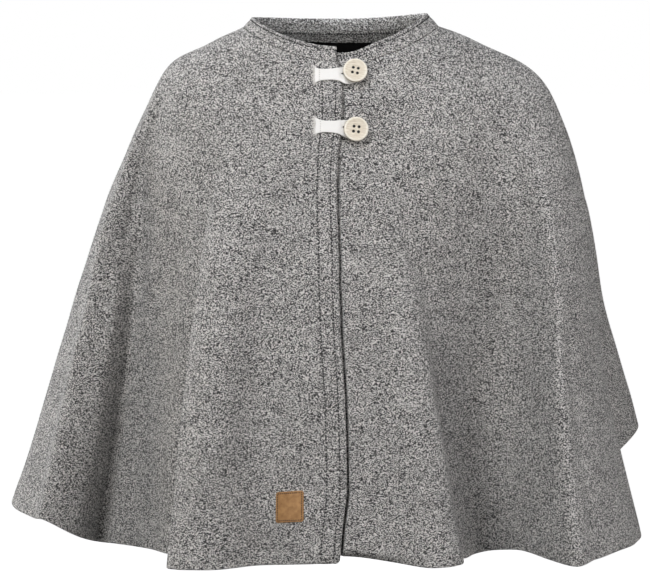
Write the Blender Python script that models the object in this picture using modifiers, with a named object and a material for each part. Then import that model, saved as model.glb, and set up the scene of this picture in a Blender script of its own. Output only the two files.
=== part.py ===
"""A short cape of felted grey wool, standing open as if worn, with a neck band, two tab loops and two buttons.

The origin is the middle of the neck, at the height of the shoulders. +X is to the right as the cape is
seen from the front, -Y is the front and +Z is up. Sizes are written in millimetres.
"""

from collections import namedtuple

import bmesh
import bpy
import numpy as np
from mathutils import Matrix, Vector

MM = 0.001

# Cloth
WOOL = 2.5  # thickness of the felted wool
SEAM_GAP = 0.3  # space between pieces that meet
BAND_WOOL = 3.0  # thickness of the neck band
FACING_WIDTH = 27.0  # front edge that is turned back and sewn down
FACING_THICK = 4.5  # the two layers there, pressed

# Where the fronts lap: the right front lies over the left one
UNDERLAP = 28.0  # how far the left front runs on past the middle
BAND_END = -5.0  # x of the neck band's outer end

# Buttons and what is sewn on
BUTTON_DIAMETER = 25.4
BUTTON_THICK = 4.2
BUTTON_LIFT = 0.9  # the button's back, above the right front's outer face
BUTTON_HOLE = 1.6  # radius
BUTTON_HOLE_PITCH = 5.2
TAB_THICK = 1.6
PATCH_SIZE = (28.0, 32.0)
PATCH_THICK = 1.3
PATCH_PLACE = (-52.2, 60.5)  # x, and height above the hem along the cloth
PATCH_CORNER = 2.0
LABEL_SIZE = (84.0, 32.0)
LABEL_THICK = 0.8
LABEL_GAP = 0.6
LABEL_DROP = 16.5  # below the neck seam, on the inside of the back

# How finely the walls are cut
FRONT_COLUMNS = 56
BACK_COLUMNS = 58
CAPE_LEVELS = (0, 0.03, 0.07, 0.11, 0.155, 0.2, 0.25, 0.3, 0.36, 0.43, 0.5, 0.57, 0.64, 0.71, 0.78, 0.86, 0.93, 1)
EVENNESS = 0.3  # how much the columns of a panel keep to even azimuths, beside even lengths of hem
BAND_COLUMNS = 64
SEAM_AZIMUTHS = {"right side": -90.0, "left side": 90.0}  # the wearer's sides

# The cloth passes through these rings on its way from the neck to the hem. Each has its reach to the four
# sides, its height there, how square it is (1 is an ellipse) and the share of the hem's folds that it shows.
Ring = namedtuple("Ring", "name level left right front back z_left z_right z_front z_back square fold")
RINGS = [
    Ring("neck seam", 0.00, 104, 105, 85, 70, -6, -5, -39, -12, 1.00, 0.00),
    Ring("yoke", 0.085, 144, 143, 101, 93, -26, -19, -82, -38, 0.97, 0.00),
    Ring("shoulder", 0.17, 184, 206, 114, 115, -46, -52, -136, -80, 0.94, 0.00),
    Ring("upper arm", 0.27, 215.5, 243, 128, 137, -105, -104, -205, -140, 0.90, 0.16),
    Ring("elbow", 0.42, 247.5, 269, 143, 160, -185, -186, -281, -225, 0.86, 0.42),
    Ring("forearm", 0.68, 296.5, 292, 162, 186, -346, -348, -399, -355, 0.83, 0.74),
    Ring("hem", 1.00, 356, 338, 186, 215, -545, -530, -545, -515, 0.80, 1.00),
]
RING_SOFTNESS = 0.03  # how gently a squarer ring turns at its four sides
BAND_TOP = Ring("neck band top", 0.0, 94, 92, 78, 64, 4.5, 9, -23.5, 1.5, 1.00, 0.00)

# The ridges and hollows of the hem: the azimuth of each on the hem's ring, its lean, which is how many degrees
# further round it would lie at the neck, and its place.
Fold = namedtuple("Fold", "name azimuth lean x y z")
FOLDS = [
    Fold("back left ridge", -146, 0, -218, 222, -522),
    Fold("back left hollow", -129, 0, -268, 148, -536),
    Fold("left flare, behind", -111, 0, -338, 118, -537),
    Fold("left flare, corner", -93, -8, -370, 24, -538.5),
    Fold("left flare, before", -72, -30, -335, -60, -534),
    Fold("left flare, ridge", -60, -19.5, -310, -84, -534),
    Fold("left flare, turning in", -56.5, -16.5, -293, -74, -547),
    Fold("left hollow, outer edge", -54, -14.5, -284, -63, -555),
    Fold("left hollow, outer wall", -51.5, -13, -278.5, -40, -565),
    Fold("left hollow", -48.5, -12, -272, -11, -576.5),
    Fold("left hollow, floor", -44.5, -12, -254.5, -28, -573),
    Fold("left hollow, inner wall", -39.5, -12.5, -230, -50, -569),
    Fold("left ridge, flank", -34.5, -13, -205, -84, -562),
    Fold("left ridge, end of the flank", -30.5, -13, -188, -113.5, -557),
    Fold("left ridge, tuck", -27.5, -12.5, -175, -130, -556),
    Fold("left ridge, inside the tuck", -26.2, -12, -173, -149, -555),
    Fold("left ridge, over the tuck", -25.2, -11.5, -177, -168, -552),
    Fold("left ridge, edge", -24.2, -11, -178.5, -184, -550),
    Fold("left ridge, round", -22.5, -10, -169.5, -197, -547.5),
    Fold("left ridge", -19.5, -9, -149, -207, -545),
    Fold("left ridge, inside", -15, -8, -124, -200, -547),
    Fold("right front, hollow", -10, -6, -88, -172, -552),
    Fold("right front, plain", -4, -3, -42, -186, -546),
    Fold("middle of the front", 0, 0, 0, -187, -545),
    Fold("left front, plain", 5.3, -2, 50, -190, -547),
    Fold("left front, ridge", 12.5, -7, 100, -197, -546),
    Fold("left front, ridge round", 16, -4.5, 120, -186, -547),
    Fold("left front, ridge edge", 17.2, -3.5, 127, -173, -549),
    Fold("left front, over the tuck", 17.9, -2.8, 128.5, -156, -552),
    Fold("left front, inside the tuck", 18.6, -2, 127.5, -138, -556),
    Fold("left front, tuck", 19.4, -1, 129, -120, -561),
    Fold("right hollow, inner wall", 20.4, 0, 134.5, -105, -565.5),
    Fold("right hollow, inner foot", 22, 1.5, 144, -84, -568.5),
    Fold("right hollow", 24, 4, 154, -70, -570.5),
    Fold("right hollow, floor", 26.5, 6.5, 166, -68, -569),
    Fold("right hollow, outer foot", 29, 9, 179, -80, -564.5),
    Fold("right hollow, outer wall", 31.5, 12, 192, -101, -558.5),
    Fold("right ridge, inside", 34.5, 15, 209, -142, -551.5),
    Fold("right ridge", 38, 18, 231, -192, -545),
    Fold("right ridge, outside", 46, 20, 263, -172, -545),
    Fold("right flare, before", 56, 18, 294, -128, -550),
    Fold("right flare, side", 70, 12, 321.5, -74, -558),
    Fold("right flare, corner", 84, 4, 330, -24, -558),
    Fold("side hollow", 99, 0, 284, 44, -536),
    Fold("right back flare", 115, -5, 366, 188, -491),
    Fold("right back hollow", 133, 0, 258, 205, -508),
    Fold("back right ridge", 149, 0, 190, 246, -508),
    Fold("back hollow, right", 164, 0, 96, 200, -515),
    Fold("back ridge", 181, 0, -12, 238, -514),
    Fold("back hollow, left", 198, 0, -118, 196, -519),
]

# How far the left front lies back and down under the right one, where the right front's edge runs, and the
# azimuths between which the left front comes out to the common form.
Lap = namedtuple("Lap", "name level back down edge_x fade_from fade_to")
LAPS = [
    Lap("neck seam", 0.0, 5.6, 6.5, -3.0, 3.0, 28.0),
    Lap("lower button", 0.16, 5.8, 4.0, -1.0, 2.5, 26.0),
    Lap("chest", 0.5, 8.0, 0.0, 1.0, 1.5, 20.0),
    Lap("above the hem", 0.85, 9.5, -2.0, 6.0, 1.0, 17.0),
    Lap("hem", 1.0, 12.0, -5.0, -1.0, 1.0, 12.0),
]

# The two fastenings: the button's middle, as x and as distance below the neck seam along the cloth, its turn
# in degrees, how far the slit of its tab loop lies below that middle, and how that grows along the tab.
Fastening = namedtuple("Fastening", "name x drop turn tab_drop tab_slope")
FASTENINGS = [
    Fastening("upper", 14.5, 11.2, -10.5, 3.4, -0.04),
    Fastening("lower", 15.4, 72.4, -6.5, -1.4, 0.025),
]

# A tab loop along its length, from the sewn end to the tip, measured from the button's middle: how far it
# reaches above and below the line of its slit, and half the slit's opening.
TabStation = namedtuple("TabStation", "along above below slit")
TAB = [
    TabStation(-44, 7.3, 7.4, 0),
    TabStation(-41, 7.0, 7.0, 0),
    TabStation(-36, 6.2, 6.0, 0),
    TabStation(-28, 5.8, 5.7, 0),
    TabStation(-21, 5.9, 6.2, 0),
    TabStation(-15, 6.3, 7.6, 0),
    TabStation(-12, 6.6, 8.7, 1.4),
    TabStation(-9, 6.8, 9.8, 2.8),
    TabStation(-5, 7.2, 10.6, 3.6),
    TabStation(-1, 7.2, 10.8, 3.9),
    TabStation(3, 6.6, 10.2, 3.2),
    TabStation(6, 5.5, 8.8, 0),
    TabStation(9, 3.8, 6.5, 0),
    TabStation(11.2, 1.5, 3.0, 0),
]
TAB_ACROSS = 2  # strips on each side of the slit
TAB_STEP = (1.2, 9.5)  # how far past the right front's edge a tab steps down, start and end

# A button's turned outline, from its middle out: radius and height as shares of the half diameter and thickness.
ButtonPoint = namedtuple("ButtonPoint", "radius height")
BUTTON_OUTLINE = [
    ButtonPoint(0.00, 0.78),
    ButtonPoint(0.56, 0.78),
    ButtonPoint(0.74, 0.90),
    ButtonPoint(0.88, 1.00),
    ButtonPoint(0.96, 0.90),
    ButtonPoint(1.00, 0.62),
    ButtonPoint(0.97, 0.20),
    ButtonPoint(0.90, 0.00),
    ButtonPoint(0.00, 0.00),
]
BUTTON_STEPS = 32

# Colours: base colour, roughness
FINISHES = {
    "grey wool": ((0.22, 0.22, 0.225), 0.95),
    "white cotton": ((0.80, 0.77, 0.74), 0.90),
    "pale wood": ((0.62, 0.53, 0.40), 0.55),
    "tan leather": ((0.42, 0.23, 0.09), 0.60),
    "black tape": ((0.012, 0.012, 0.014), 0.85),
}


def blend(low, high, value):
    """0 below low, 1 above high, and smooth between."""
    share = np.clip((value - low) / (high - low), 0, 1)
    return share * share * (3 - 2 * share)


def through(knots, points, at):
    """A smooth curve through points (knots, places, xyz), read at one knot value for each place."""
    knots = np.asarray(knots, float)
    steps = np.diff(knots)
    slopes = np.diff(points, axis=0) / steps[:, None, None]
    before, after = steps[:-1, None, None], steps[1:, None, None]
    inner = (slopes[:-1] * after + slopes[1:] * before) / (before + after)
    tangents = np.concatenate([slopes[:1], inner, slopes[-1:]])
    span = np.clip(np.searchsorted(knots, at, side="right") - 1, 0, len(steps) - 1)
    place = np.arange(len(at))
    step = steps[span][:, None]
    share = ((at - knots[span]) / steps[span])[:, None]
    start, end = points[span, place], points[span + 1, place]
    leave, arrive = tangents[span, place] * step, tangents[span + 1, place] * step
    square, cube = share**2, share**3
    return (
        start * (2 * cube - 3 * square + 1)
        + leave * (cube - 2 * square + share)
        + end * (3 * square - 2 * cube)
        + arrive * (cube - square)
    )


def squared(share, square):
    """A sine or cosine, drawn out towards a square, and round where it crosses zero."""
    return share * ((share**2 + RING_SOFTNESS) / (1 + RING_SOFTNESS)) ** ((square - 1) / 2)


def ring_at(ring, azimuth):
    """Points of a ring at these azimuths."""
    angle = np.radians(azimuth)
    side, ahead = np.sin(angle), np.cos(angle)
    x = np.where(side > 0, ring.right, ring.left) * squared(side, ring.square)
    y = np.where(ahead > 0, -ring.front, -ring.back) * squared(ahead, ring.square)
    z_side = np.where(side > 0, ring.z_right, ring.z_left)
    z_ahead = np.where(ahead > 0, ring.z_front, ring.z_back)
    return np.stack([x, y, z_side * side**2 + z_ahead * ahead**2], axis=-1)


def folds_at(columns, azimuth):
    """Some columns of the table of folds, read smoothly all round."""
    rows = sorted(FOLDS, key=lambda fold: fold.azimuth)
    turns = [(row, turn) for turn in (-360, 0, 360) for row in rows]
    knots = [row.azimuth + turn for row, turn in turns]
    values = np.array([[getattr(row, column) for column in columns] for row, _ in turns], float)
    return through(knots, np.repeat(values[:, None, :], len(azimuth), axis=1), azimuth)


def swing_at(azimuth, level):
    """How far the folds take the hem from its ring, read further round the higher the level."""
    source = azimuth - folds_at(["lean"], azimuth)[:, 0] * (1 - level)
    return folds_at(["x", "y", "z"], source) - ring_at(RINGS[-1], source)


def cape_at(azimuth, level):
    """Points of the cloth's outer form: azimuth in degrees from the middle of the front, level 0 neck, 1 hem."""
    levels = [ring.level for ring in RINGS]
    plain = through(levels, np.stack([ring_at(ring, azimuth) for ring in RINGS]), level)
    shares = np.repeat(np.array([ring.fold for ring in RINGS])[:, None, None], len(level), axis=1)
    return plain + through(levels, shares, level) * swing_at(azimuth, level)


def band_at(azimuth, height):
    """Points of the neck band's outer form, height 0 at the seam and 1 at the top edge."""
    low, high = ring_at(RINGS[0], azimuth), ring_at(BAND_TOP, azimuth)
    return low + (high - low) * height[:, None]


def normals_of(form, azimuth, level):
    """Outward directions of a form, from small steps over it."""
    turn, climb = 0.05, 0.001
    around = form(azimuth + turn, level) - form(azimuth - turn, level)
    down = form(azimuth, np.minimum(level + climb, 1)) - form(azimuth, np.maximum(level - climb, 0))
    normal = np.cross(down, around)
    return normal / np.linalg.norm(normal, axis=1, keepdims=True)


def band_normals(azimuth, height):
    return -normals_of(band_at, azimuth, height)


def lap(column, level):
    """A column of the table of laps, between its rows."""
    return np.interp(level, [row.level for row in LAPS], [getattr(row, column) for row in LAPS])


def underlap_shift(azimuth, level):
    """How the left front lies back and down from the common form."""
    share = 1 - blend(lap("fade_from", level), lap("fade_to", level), azimuth)
    return np.stack([0 * share, lap("back", level) * share, -lap("down", level) * share], axis=-1)


def azimuths_at_x(x, level, middle=0):
    """The azimuth near the middle of the front or back where the form has this x, for each level."""
    tries = middle + np.linspace(-40, 40, 81)
    found = []
    for one_x, one_level in zip(x, level):
        line = cape_at(tries, np.full_like(tries, one_level))[:, 0]
        order = np.argsort(line)
        found.append(np.interp(one_x, line[order], tries[order]))
    return np.array(found)


def levels_at_drop(azimuth, drop):
    """The level that lies this far below the neck seam along the cloth, for each azimuth."""
    tries = np.linspace(0, 1, 161)
    found = []
    for one, distance in zip(azimuth, drop):
        line = cape_at(np.full_like(tries, one), tries)
        lengths = np.concatenate([[0], np.cumsum(np.linalg.norm(np.diff(line, axis=0), axis=1))])
        distance = lengths[-1] + distance if distance < 0 else distance
        found.append(np.interp(distance, lengths, tries))
    return np.array(found)


def place_on(x, drop, middle=0):
    """Azimuth and level by x and by distance along the cloth: from the neck seam or, if negative, from the hem."""
    level = levels_at_drop(np.full_like(x, middle), drop)
    for _ in range(2):
        azimuth = azimuths_at_x(x, level, middle)
        level = levels_at_drop(azimuth, drop)
    return azimuth, level


def new_object(name, mesh, finish):
    """A named object of the cape with its own material."""
    data = bpy.data.meshes.new(name)
    mesh.to_mesh(data)
    mesh.free()
    data.shade_smooth()
    data.set_sharp_from_angle(angle=0.9)
    obj = bpy.data.objects.new(name, data)
    CAPE.objects.link(obj)
    give_finish(obj, finish)
    return obj


def give_finish(obj, finish):
    colour, roughness = FINISHES[finish]
    material = bpy.data.materials.new(f"{obj.name} {finish}")
    material.use_nodes = True
    shader = material.node_tree.nodes["Principled BSDF"]
    shader.inputs["Base Color"].default_value = (*colour, 1)
    shader.inputs["Roughness"].default_value = roughness
    shader.inputs["Metallic"].default_value = 0
    obj.data.materials.append(material)


def wall(name, outer, inner, finish):
    """A closed wall of cloth: two skins of rows by columns of points, joined by a rim."""
    rows, columns = outer.shape[:2]
    mesh = bmesh.new()
    skins = [[[mesh.verts.new(point * MM) for point in row] for row in skin] for skin in (outer, inner)]
    for skin in skins:
        for row, below in zip(skin, skin[1:]):
            for j in range(columns - 1):
                mesh.faces.new((row[j], below[j], below[j + 1], row[j + 1]))
    right, left = columns - 1, 0
    rim = [(0, j) for j in range(columns)] + [(i, right) for i in range(1, rows)]
    rim += [(rows - 1, j) for j in range(right - 1, -1, -1)] + [(i, left) for i in range(rows - 2, 0, -1)]
    for (i, j), (k, m) in zip(rim, rim[1:] + rim[:1]):
        mesh.faces.new((skins[0][i][j], skins[0][k][m], skins[1][k][m], skins[1][i][j]))
    bmesh.ops.recalc_face_normals(mesh, faces=mesh.faces)
    return new_object(name, mesh, finish)


def cape_wall(name, azimuth, thick, moved=0):
    """A panel of the cape. The arrays are levels by columns: azimuths, thickness, and how far points are moved."""
    shape = azimuth.shape
    level = np.repeat(np.array(CAPE_LEVELS, float)[:, None], shape[1], axis=1)
    flat_azimuth, flat_level = azimuth.ravel(), level.ravel()
    normal = normals_of(cape_at, flat_azimuth, flat_level)
    outer = cape_at(flat_azimuth, flat_level).reshape(*shape, 3) + moved
    inner = outer - normal.reshape(*shape, 3) * thick[..., None]
    return wall(name, outer, inner, "grey wool")


def even_shares(start, end, count):
    """Shares of the way from one azimuth to another that are even along the folded hem."""
    tries = np.linspace(start, end, 400)
    steps = np.linalg.norm(np.diff(cape_at(tries, np.ones_like(tries)), axis=0), axis=1)
    steps = steps + steps.mean() * EVENNESS
    lengths = np.concatenate([[0], np.cumsum(steps)]) / steps.sum()
    return (np.interp(np.linspace(0, 1, count), lengths, tries) - start) / (end - start)


def azimuth_gap(azimuth):
    """Half the seam gap at a side seam, as an azimuth, for each level."""
    level = np.array(CAPE_LEVELS, float)
    at = np.full_like(level, azimuth)
    per_degree = np.linalg.norm(cape_at(at + 0.5, level) - cape_at(at - 0.5, level), axis=1)
    return SEAM_GAP / 2 / per_degree


def make_right_front():
    """The wearer's right front, at -X, with its front edge turned back as a facing."""
    level = np.array(CAPE_LEVELS, float)
    seam = SEAM_AZIMUTHS["right side"] + azimuth_gap(SEAM_AZIMUTHS["right side"])
    edge_x = lap("edge_x", level)
    edge = azimuths_at_x(edge_x, level)
    facing = azimuths_at_x(edge_x - FACING_WIDTH, level)
    step = azimuths_at_x(edge_x - FACING_WIDTH - 1, level)
    plain = even_shares(seam[-1], step[-1], FRONT_COLUMNS - 4)
    azimuth = np.column_stack([seam[:, None] + (step - seam)[:, None] * plain, facing, (facing + edge) / 2, edge])
    thick = np.full(azimuth.shape, WOOL)
    thick[:, -3:] = FACING_THICK
    return cape_wall("right_front", azimuth, thick)


def make_left_front():
    """The wearer's left front, at +X, which runs on under the right one."""
    level = np.array(CAPE_LEVELS, float)
    seam = SEAM_AZIMUTHS["left side"] - azimuth_gap(SEAM_AZIMUTHS["left side"])
    edge = azimuths_at_x(np.full_like(level, -UNDERLAP), level)
    across = even_shares(edge[-1], seam[-1], FRONT_COLUMNS)
    azimuth = edge[:, None] + (seam - edge)[:, None] * across
    return cape_wall("left_front", azimuth, np.full(azimuth.shape, WOOL), underlap_shift(azimuth, level[:, None]))


def make_back():
    """The back, from side seam to side seam."""
    start = SEAM_AZIMUTHS["left side"] + azimuth_gap(SEAM_AZIMUTHS["left side"])
    end = SEAM_AZIMUTHS["right side"] + 360 - azimuth_gap(SEAM_AZIMUTHS["right side"])
    azimuth = start[:, None] + (end - start)[:, None] * even_shares(start[-1], end[-1], BACK_COLUMNS)
    return cape_wall("back", azimuth, np.full(azimuth.shape, WOOL))


def make_neck_band():
    """The band that stands along the neck, its outer end over its inner one."""
    bottom = np.zeros(1)
    start, end = azimuths_at_x(np.array([-UNDERLAP, BAND_END]), np.repeat(bottom, 2)) + np.array([0, 360])
    around = np.linspace(start, end, BAND_COLUMNS)
    rise = np.linalg.norm(band_at(np.array([180.0]), np.ones(1)) - band_at(np.array([180.0]), bottom))
    heights = np.array([SEAM_GAP / rise, 0.5, 1.0])
    azimuth, height = (grid.ravel() for grid in np.meshgrid(around, heights))
    outer = band_at(azimuth, height) + underlap_shift(azimuth, 0.0)
    inner = outer - band_normals(azimuth, height) * BAND_WOOL
    shape = (len(heights), BAND_COLUMNS, 3)
    return wall("neck_band", outer.reshape(shape), inner.reshape(shape), "grey wool")


def cloth_shell(name, points, faces, thick, finish):
    """A small open sheet, thickened to the side that its faces look to."""
    mesh = bmesh.new()
    verts = [mesh.verts.new(point * MM) for point in points]
    for face in faces:
        mesh.faces.new([verts[index] for index in face])
    bmesh.ops.remove_doubles(mesh, verts=mesh.verts, dist=0.01 * MM)
    obj = new_object(name, mesh, finish)
    solidify = obj.modifiers.new("Thickness", "SOLIDIFY")
    solidify.thickness = thick * MM
    solidify.offset = 1
    return obj


def grid_faces(rows, columns, skip=()):
    """Faces of a grid of points, row by row, leaving out some columns."""
    return [
        (i * columns + j, (i + 1) * columns + j, (i + 1) * columns + j + 1, i * columns + j + 1)
        for i in range(rows - 1)
        for j in range(columns - 1)
        if j not in skip
    ]


def make_tab(fastening):
    """A tab loop: it lies on the right front, steps down over its edge and goes round the button's neck."""
    across = np.linspace(0, 1, TAB_ACROSS + 1)
    rows = []
    for station in reversed(TAB):
        above = station.slit + (station.above - station.slit) * across
        below = station.slit + (station.below - station.slit) * across
        rows.append(np.column_stack([np.full(2 * len(across), station.along), np.concatenate([-above[::-1], below])]))
    along, below = np.concatenate(rows).T
    below = below + fastening.drop + fastening.tab_drop + fastening.tab_slope * along
    azimuth, level = place_on(fastening.x + along, below)
    beyond = fastening.x + along - lap("edge_x", level)
    points = cape_at(azimuth, level) + normals_of(cape_at, azimuth, level) * SEAM_GAP
    points[:, 1] += underlap_shift(azimuth, level)[:, 1] * blend(*TAB_STEP, beyond)
    faces = grid_faces(len(TAB), 2 * len(across), skip=(TAB_ACROSS,))
    return cloth_shell(f"tab_loop_{fastening.name}", points, faces, TAB_THICK, "white cotton")


def make_patch():
    """The leather patch near the hem of the right front, with clipped corners."""
    width, height = PATCH_SIZE
    across = np.concatenate([[0, PATCH_CORNER], np.linspace(0, width, 5)[1:-1], [width - PATCH_CORNER, width]])
    along = np.concatenate([[0, PATCH_CORNER], np.linspace(0, height, 5)[1:-1], [height - PATCH_CORNER, height]])
    x, y = (grid.ravel() for grid in np.meshgrid(across - width / 2, along - height / 2))
    clip = PATCH_CORNER * 0.3
    corner = (np.abs(x) > width / 2 - 0.1) & (np.abs(y) > height / 2 - 0.1)
    x, y = x - np.sign(x) * clip * corner, y - np.sign(y) * clip * corner
    azimuth, level = place_on(PATCH_PLACE[0] + x, y - PATCH_PLACE[1])
    points = cape_at(azimuth, level) + normals_of(cape_at, azimuth, level) * SEAM_GAP
    faces = grid_faces(len(along), len(across))
    return cloth_shell("leather_patch", points, faces, PATCH_THICK, "tan leather")


def make_label():
    """The plain woven label inside the back of the neck."""
    width, height = LABEL_SIZE
    columns, rows = 9, 4
    across, along = np.linspace(-width / 2, width / 2, columns), np.linspace(0, height, rows)
    x, drop = (grid.ravel() for grid in np.meshgrid(across, LABEL_DROP + along))
    azimuth, level = place_on(x, drop, middle=180)
    normal = normals_of(cape_at, azimuth, level)
    points = cape_at(azimuth, level) - normal * (WOOL + LABEL_GAP)
    return cloth_shell("neck_label", points, grid_faces(rows, columns), LABEL_THICK, "black tape")


def make_button(fastening):
    """A turned wooden button with four holes, lying square to the cloth."""
    name = f"button_{fastening.name}"
    radius = BUTTON_DIAMETER / 2
    outline = bmesh.new()
    spots = [(p.radius * radius * MM, 0, p.height * BUTTON_THICK * MM) for p in BUTTON_OUTLINE]
    verts = [outline.verts.new(spot) for spot in spots]
    for pair in zip(verts, verts[1:]):
        outline.edges.new(pair)
    button = new_object(name, outline, "pale wood")
    lathe = button.modifiers.new("Turned", "SCREW")
    lathe.steps = lathe.render_steps = BUTTON_STEPS
    lathe.use_merge_vertices = True
    lathe.merge_threshold = 0.00001
    for number in range(4):
        holes = button.modifiers.new(f"Hole {number + 1}", "BOOLEAN")
        holes.operation = "DIFFERENCE"
        holes.object = hole_cutter(f"{name}_hole_{number + 1}", number)
        holes.object.parent = button
    azimuth, level = place_on(np.array([fastening.x]), np.array([fastening.drop]))
    normal = normals_of(cape_at, azimuth, level)[0]
    seat = cape_at(azimuth, level)[0] + normal * BUTTON_LIFT
    outward = Vector(normal)
    up = outward.cross(Vector((1, 0, 0))).normalized()
    axes = Matrix((up.cross(outward), up, outward)).transposed().to_4x4()
    turn = Matrix.Rotation(np.radians(fastening.turn), 4, "Z")
    button.matrix_world = Matrix.Translation(Vector(seat) * MM) @ axes @ turn
    return button


def hole_cutter(name, number):
    """A round cutter for one of a button's four holes."""
    sign_x, sign_y = ((-1, -1), (1, -1), (1, 1), (-1, 1))[number]
    mesh = bmesh.new()
    bmesh.ops.create_cone(
        mesh,
        cap_ends=True,
        segments=12,
        radius1=BUTTON_HOLE * MM,
        radius2=BUTTON_HOLE * MM,
        depth=4 * BUTTON_THICK * MM,
        matrix=Matrix.Translation(Vector((sign_x, sign_y, 0)) * BUTTON_HOLE_PITCH / 2 * MM),
    )
    data = bpy.data.meshes.new(name)
    mesh.to_mesh(data)
    mesh.free()
    cutter = bpy.data.objects.new(name, data)
    cutter.hide_render = True
    cutter.display_type = "WIRE"
    CUTTERS.objects.link(cutter)
    return cutter


def new_collection(name):
    collection = bpy.data.collections.new(name)
    bpy.context.scene.collection.children.link(collection)
    return collection


for old in list(bpy.data.objects):
    bpy.data.objects.remove(old)
CAPE = new_collection("Wool cape")
CUTTERS = new_collection("Cutters")
make_right_front()
make_left_front()
make_back()
make_neck_band()
make_patch()
make_label()
for one in FASTENINGS:
    make_tab(one)
    make_button(one)
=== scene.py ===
import math

import bpy
import numpy as np
from mathutils import Matrix, Vector


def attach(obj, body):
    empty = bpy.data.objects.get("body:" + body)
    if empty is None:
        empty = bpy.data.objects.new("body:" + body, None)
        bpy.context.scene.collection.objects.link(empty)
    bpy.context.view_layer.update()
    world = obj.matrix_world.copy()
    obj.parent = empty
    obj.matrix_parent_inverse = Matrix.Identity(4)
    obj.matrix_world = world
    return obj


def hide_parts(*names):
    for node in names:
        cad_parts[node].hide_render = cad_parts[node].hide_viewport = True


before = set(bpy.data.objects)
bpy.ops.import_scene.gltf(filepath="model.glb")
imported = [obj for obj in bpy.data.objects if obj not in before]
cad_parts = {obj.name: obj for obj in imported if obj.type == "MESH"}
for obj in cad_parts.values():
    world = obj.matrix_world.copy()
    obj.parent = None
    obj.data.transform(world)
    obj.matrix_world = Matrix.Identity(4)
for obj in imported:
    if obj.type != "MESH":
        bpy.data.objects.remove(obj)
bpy.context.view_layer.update()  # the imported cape, at its real size
mm = 0.001
print("cape frame loaded")

# Nodes and materials in general


def newNode(tree, kind, inputs=None, **settings):
    made = tree.nodes.new(kind)
    for key, value in settings.items():
        setattr(made, key, value)
    for key, value in (inputs or {}).items():
        if isinstance(value, bpy.types.NodeSocket):
            tree.links.new(value, made.inputs[key])
        else:
            made.inputs[key].default_value = value
    return made


def newMaterial(name, constants):
    material = bpy.data.materials.new(name)
    material.use_nodes = True
    shader = material.node_tree.nodes["Principled BSDF"]
    for key, value in constants.items():
        shader.inputs[key].default_value = value
    return material, material.node_tree, shader


# Studio: a white room, soft light from all round and a camera at the photograph's angle

studio = {
    "cameraPlace": (-0.0165, -2.0, 0.05),
    "cameraTilt": 80.16,  # degrees up from straight down
    "lens": 102.2,
    "sensor": 36,
    "farthest": 100,
    "floorHeight": -2.0,
    "floorSize": 60.0,
    "floor": {"Base Color": (0.9, 0.9, 0.9, 1), "Emission Color": (1, 1, 1, 1), "Emission Strength": 1.0},
    "roomColour": (1, 1, 1, 1),
    "roomLight": 0.02,
    "lightWidth": 1.1,
    "lightReach": 2.4,  # from what it is aimed at
    "lightAim": (0, 0, -0.28),
    "lights": [  # name, degrees round from the front and up, watts, colour
        ("softboxLeft", (-28, 22), 17.0, (1.0, 0.97, 0.90)),
        ("softboxHigh", (-28, 50), 24.5, (0.91, 0.94, 1.0)),
        ("softboxRight", (28, 22), 11.8, (1.0, 0.98, 0.97)),
        ("fillRight", (50, 22), 10.4, (0.97, 0.97, 1.0)),
        ("sideLeft", (-95, 18), 12.0, (1.0, 0.93, 0.84)),
        ("sideRight", (75, -8), 9.8, (1.0, 0.98, 0.95)),
        ("backLeft", (-125, 22), 29.0, (0.92, 0.95, 1.0)),
        ("backRight", (175, 22), 15.0, (0.97, 0.98, 1.0)),
    ],
}


def makeCamera():
    data = bpy.data.cameras.new("photoCamera")
    data.lens = studio["lens"]
    data.sensor_width = studio["sensor"]
    data.clip_end = studio["farthest"]
    camera = bpy.data.objects.new("photoCamera", data)
    camera.location = studio["cameraPlace"]
    camera.rotation_euler = (math.radians(studio["cameraTilt"]), 0, 0)
    bpy.context.collection.objects.link(camera)
    bpy.context.scene.camera = camera


def makeLights():
    aim = Vector(studio["lightAim"])
    for name, (around, up), watts, colour in studio["lights"]:
        data = bpy.data.lights.new(name, "AREA")
        data.shape = "DISK"
        data.size = studio["lightWidth"]
        data.energy = watts
        data.color = colour
        light = bpy.data.objects.new(name, data)
        turn = Matrix.Rotation(math.radians(around), 3, "Z") @ Matrix.Rotation(math.radians(-up), 3, "X")
        away = turn @ Vector((0, -1, 0))
        light.location = aim + away * studio["lightReach"]
        light.rotation_euler = (-away).to_track_quat("-Z", "Y").to_euler()
        bpy.context.collection.objects.link(light)


def makeRoom():
    # what the camera sees of the room is plain white, and what lights the cape is weak
    world = bpy.data.worlds.new("whiteRoom")
    bpy.context.scene.world = world
    world.use_nodes = True
    tree = world.node_tree
    seen = newNode(tree, "ShaderNodeLightPath").outputs["Is Camera Ray"]
    levels = {"Value": seen, "To Min": studio["roomLight"], "To Max": 1.0}
    strength = newNode(tree, "ShaderNodeMapRange", levels)
    backdrop = tree.nodes["Background"]
    backdrop.inputs["Color"].default_value = studio["roomColour"]
    tree.links.new(strength.outputs["Result"], backdrop.inputs["Strength"])

    bpy.ops.mesh.primitive_plane_add(size=studio["floorSize"], location=(0, 0, studio["floorHeight"]))
    floor = bpy.context.object
    floor.name = "paleFloor"
    floor.visible_diffuse = False  # the room's own light already counts for it
    floor.visible_shadow = False
    floor.data.materials.append(newMaterial("paleFloor", studio["floor"])[0])


bpy.context.scene.view_settings.view_transform = "Standard"
makeCamera()
makeLights()
makeRoom()
print("studio ready")

# The form of the cape, as the solids have it. Millimetres; azimuth 0 is the middle of the front, level 0
# the neck seam and level 1 the hem.

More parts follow.
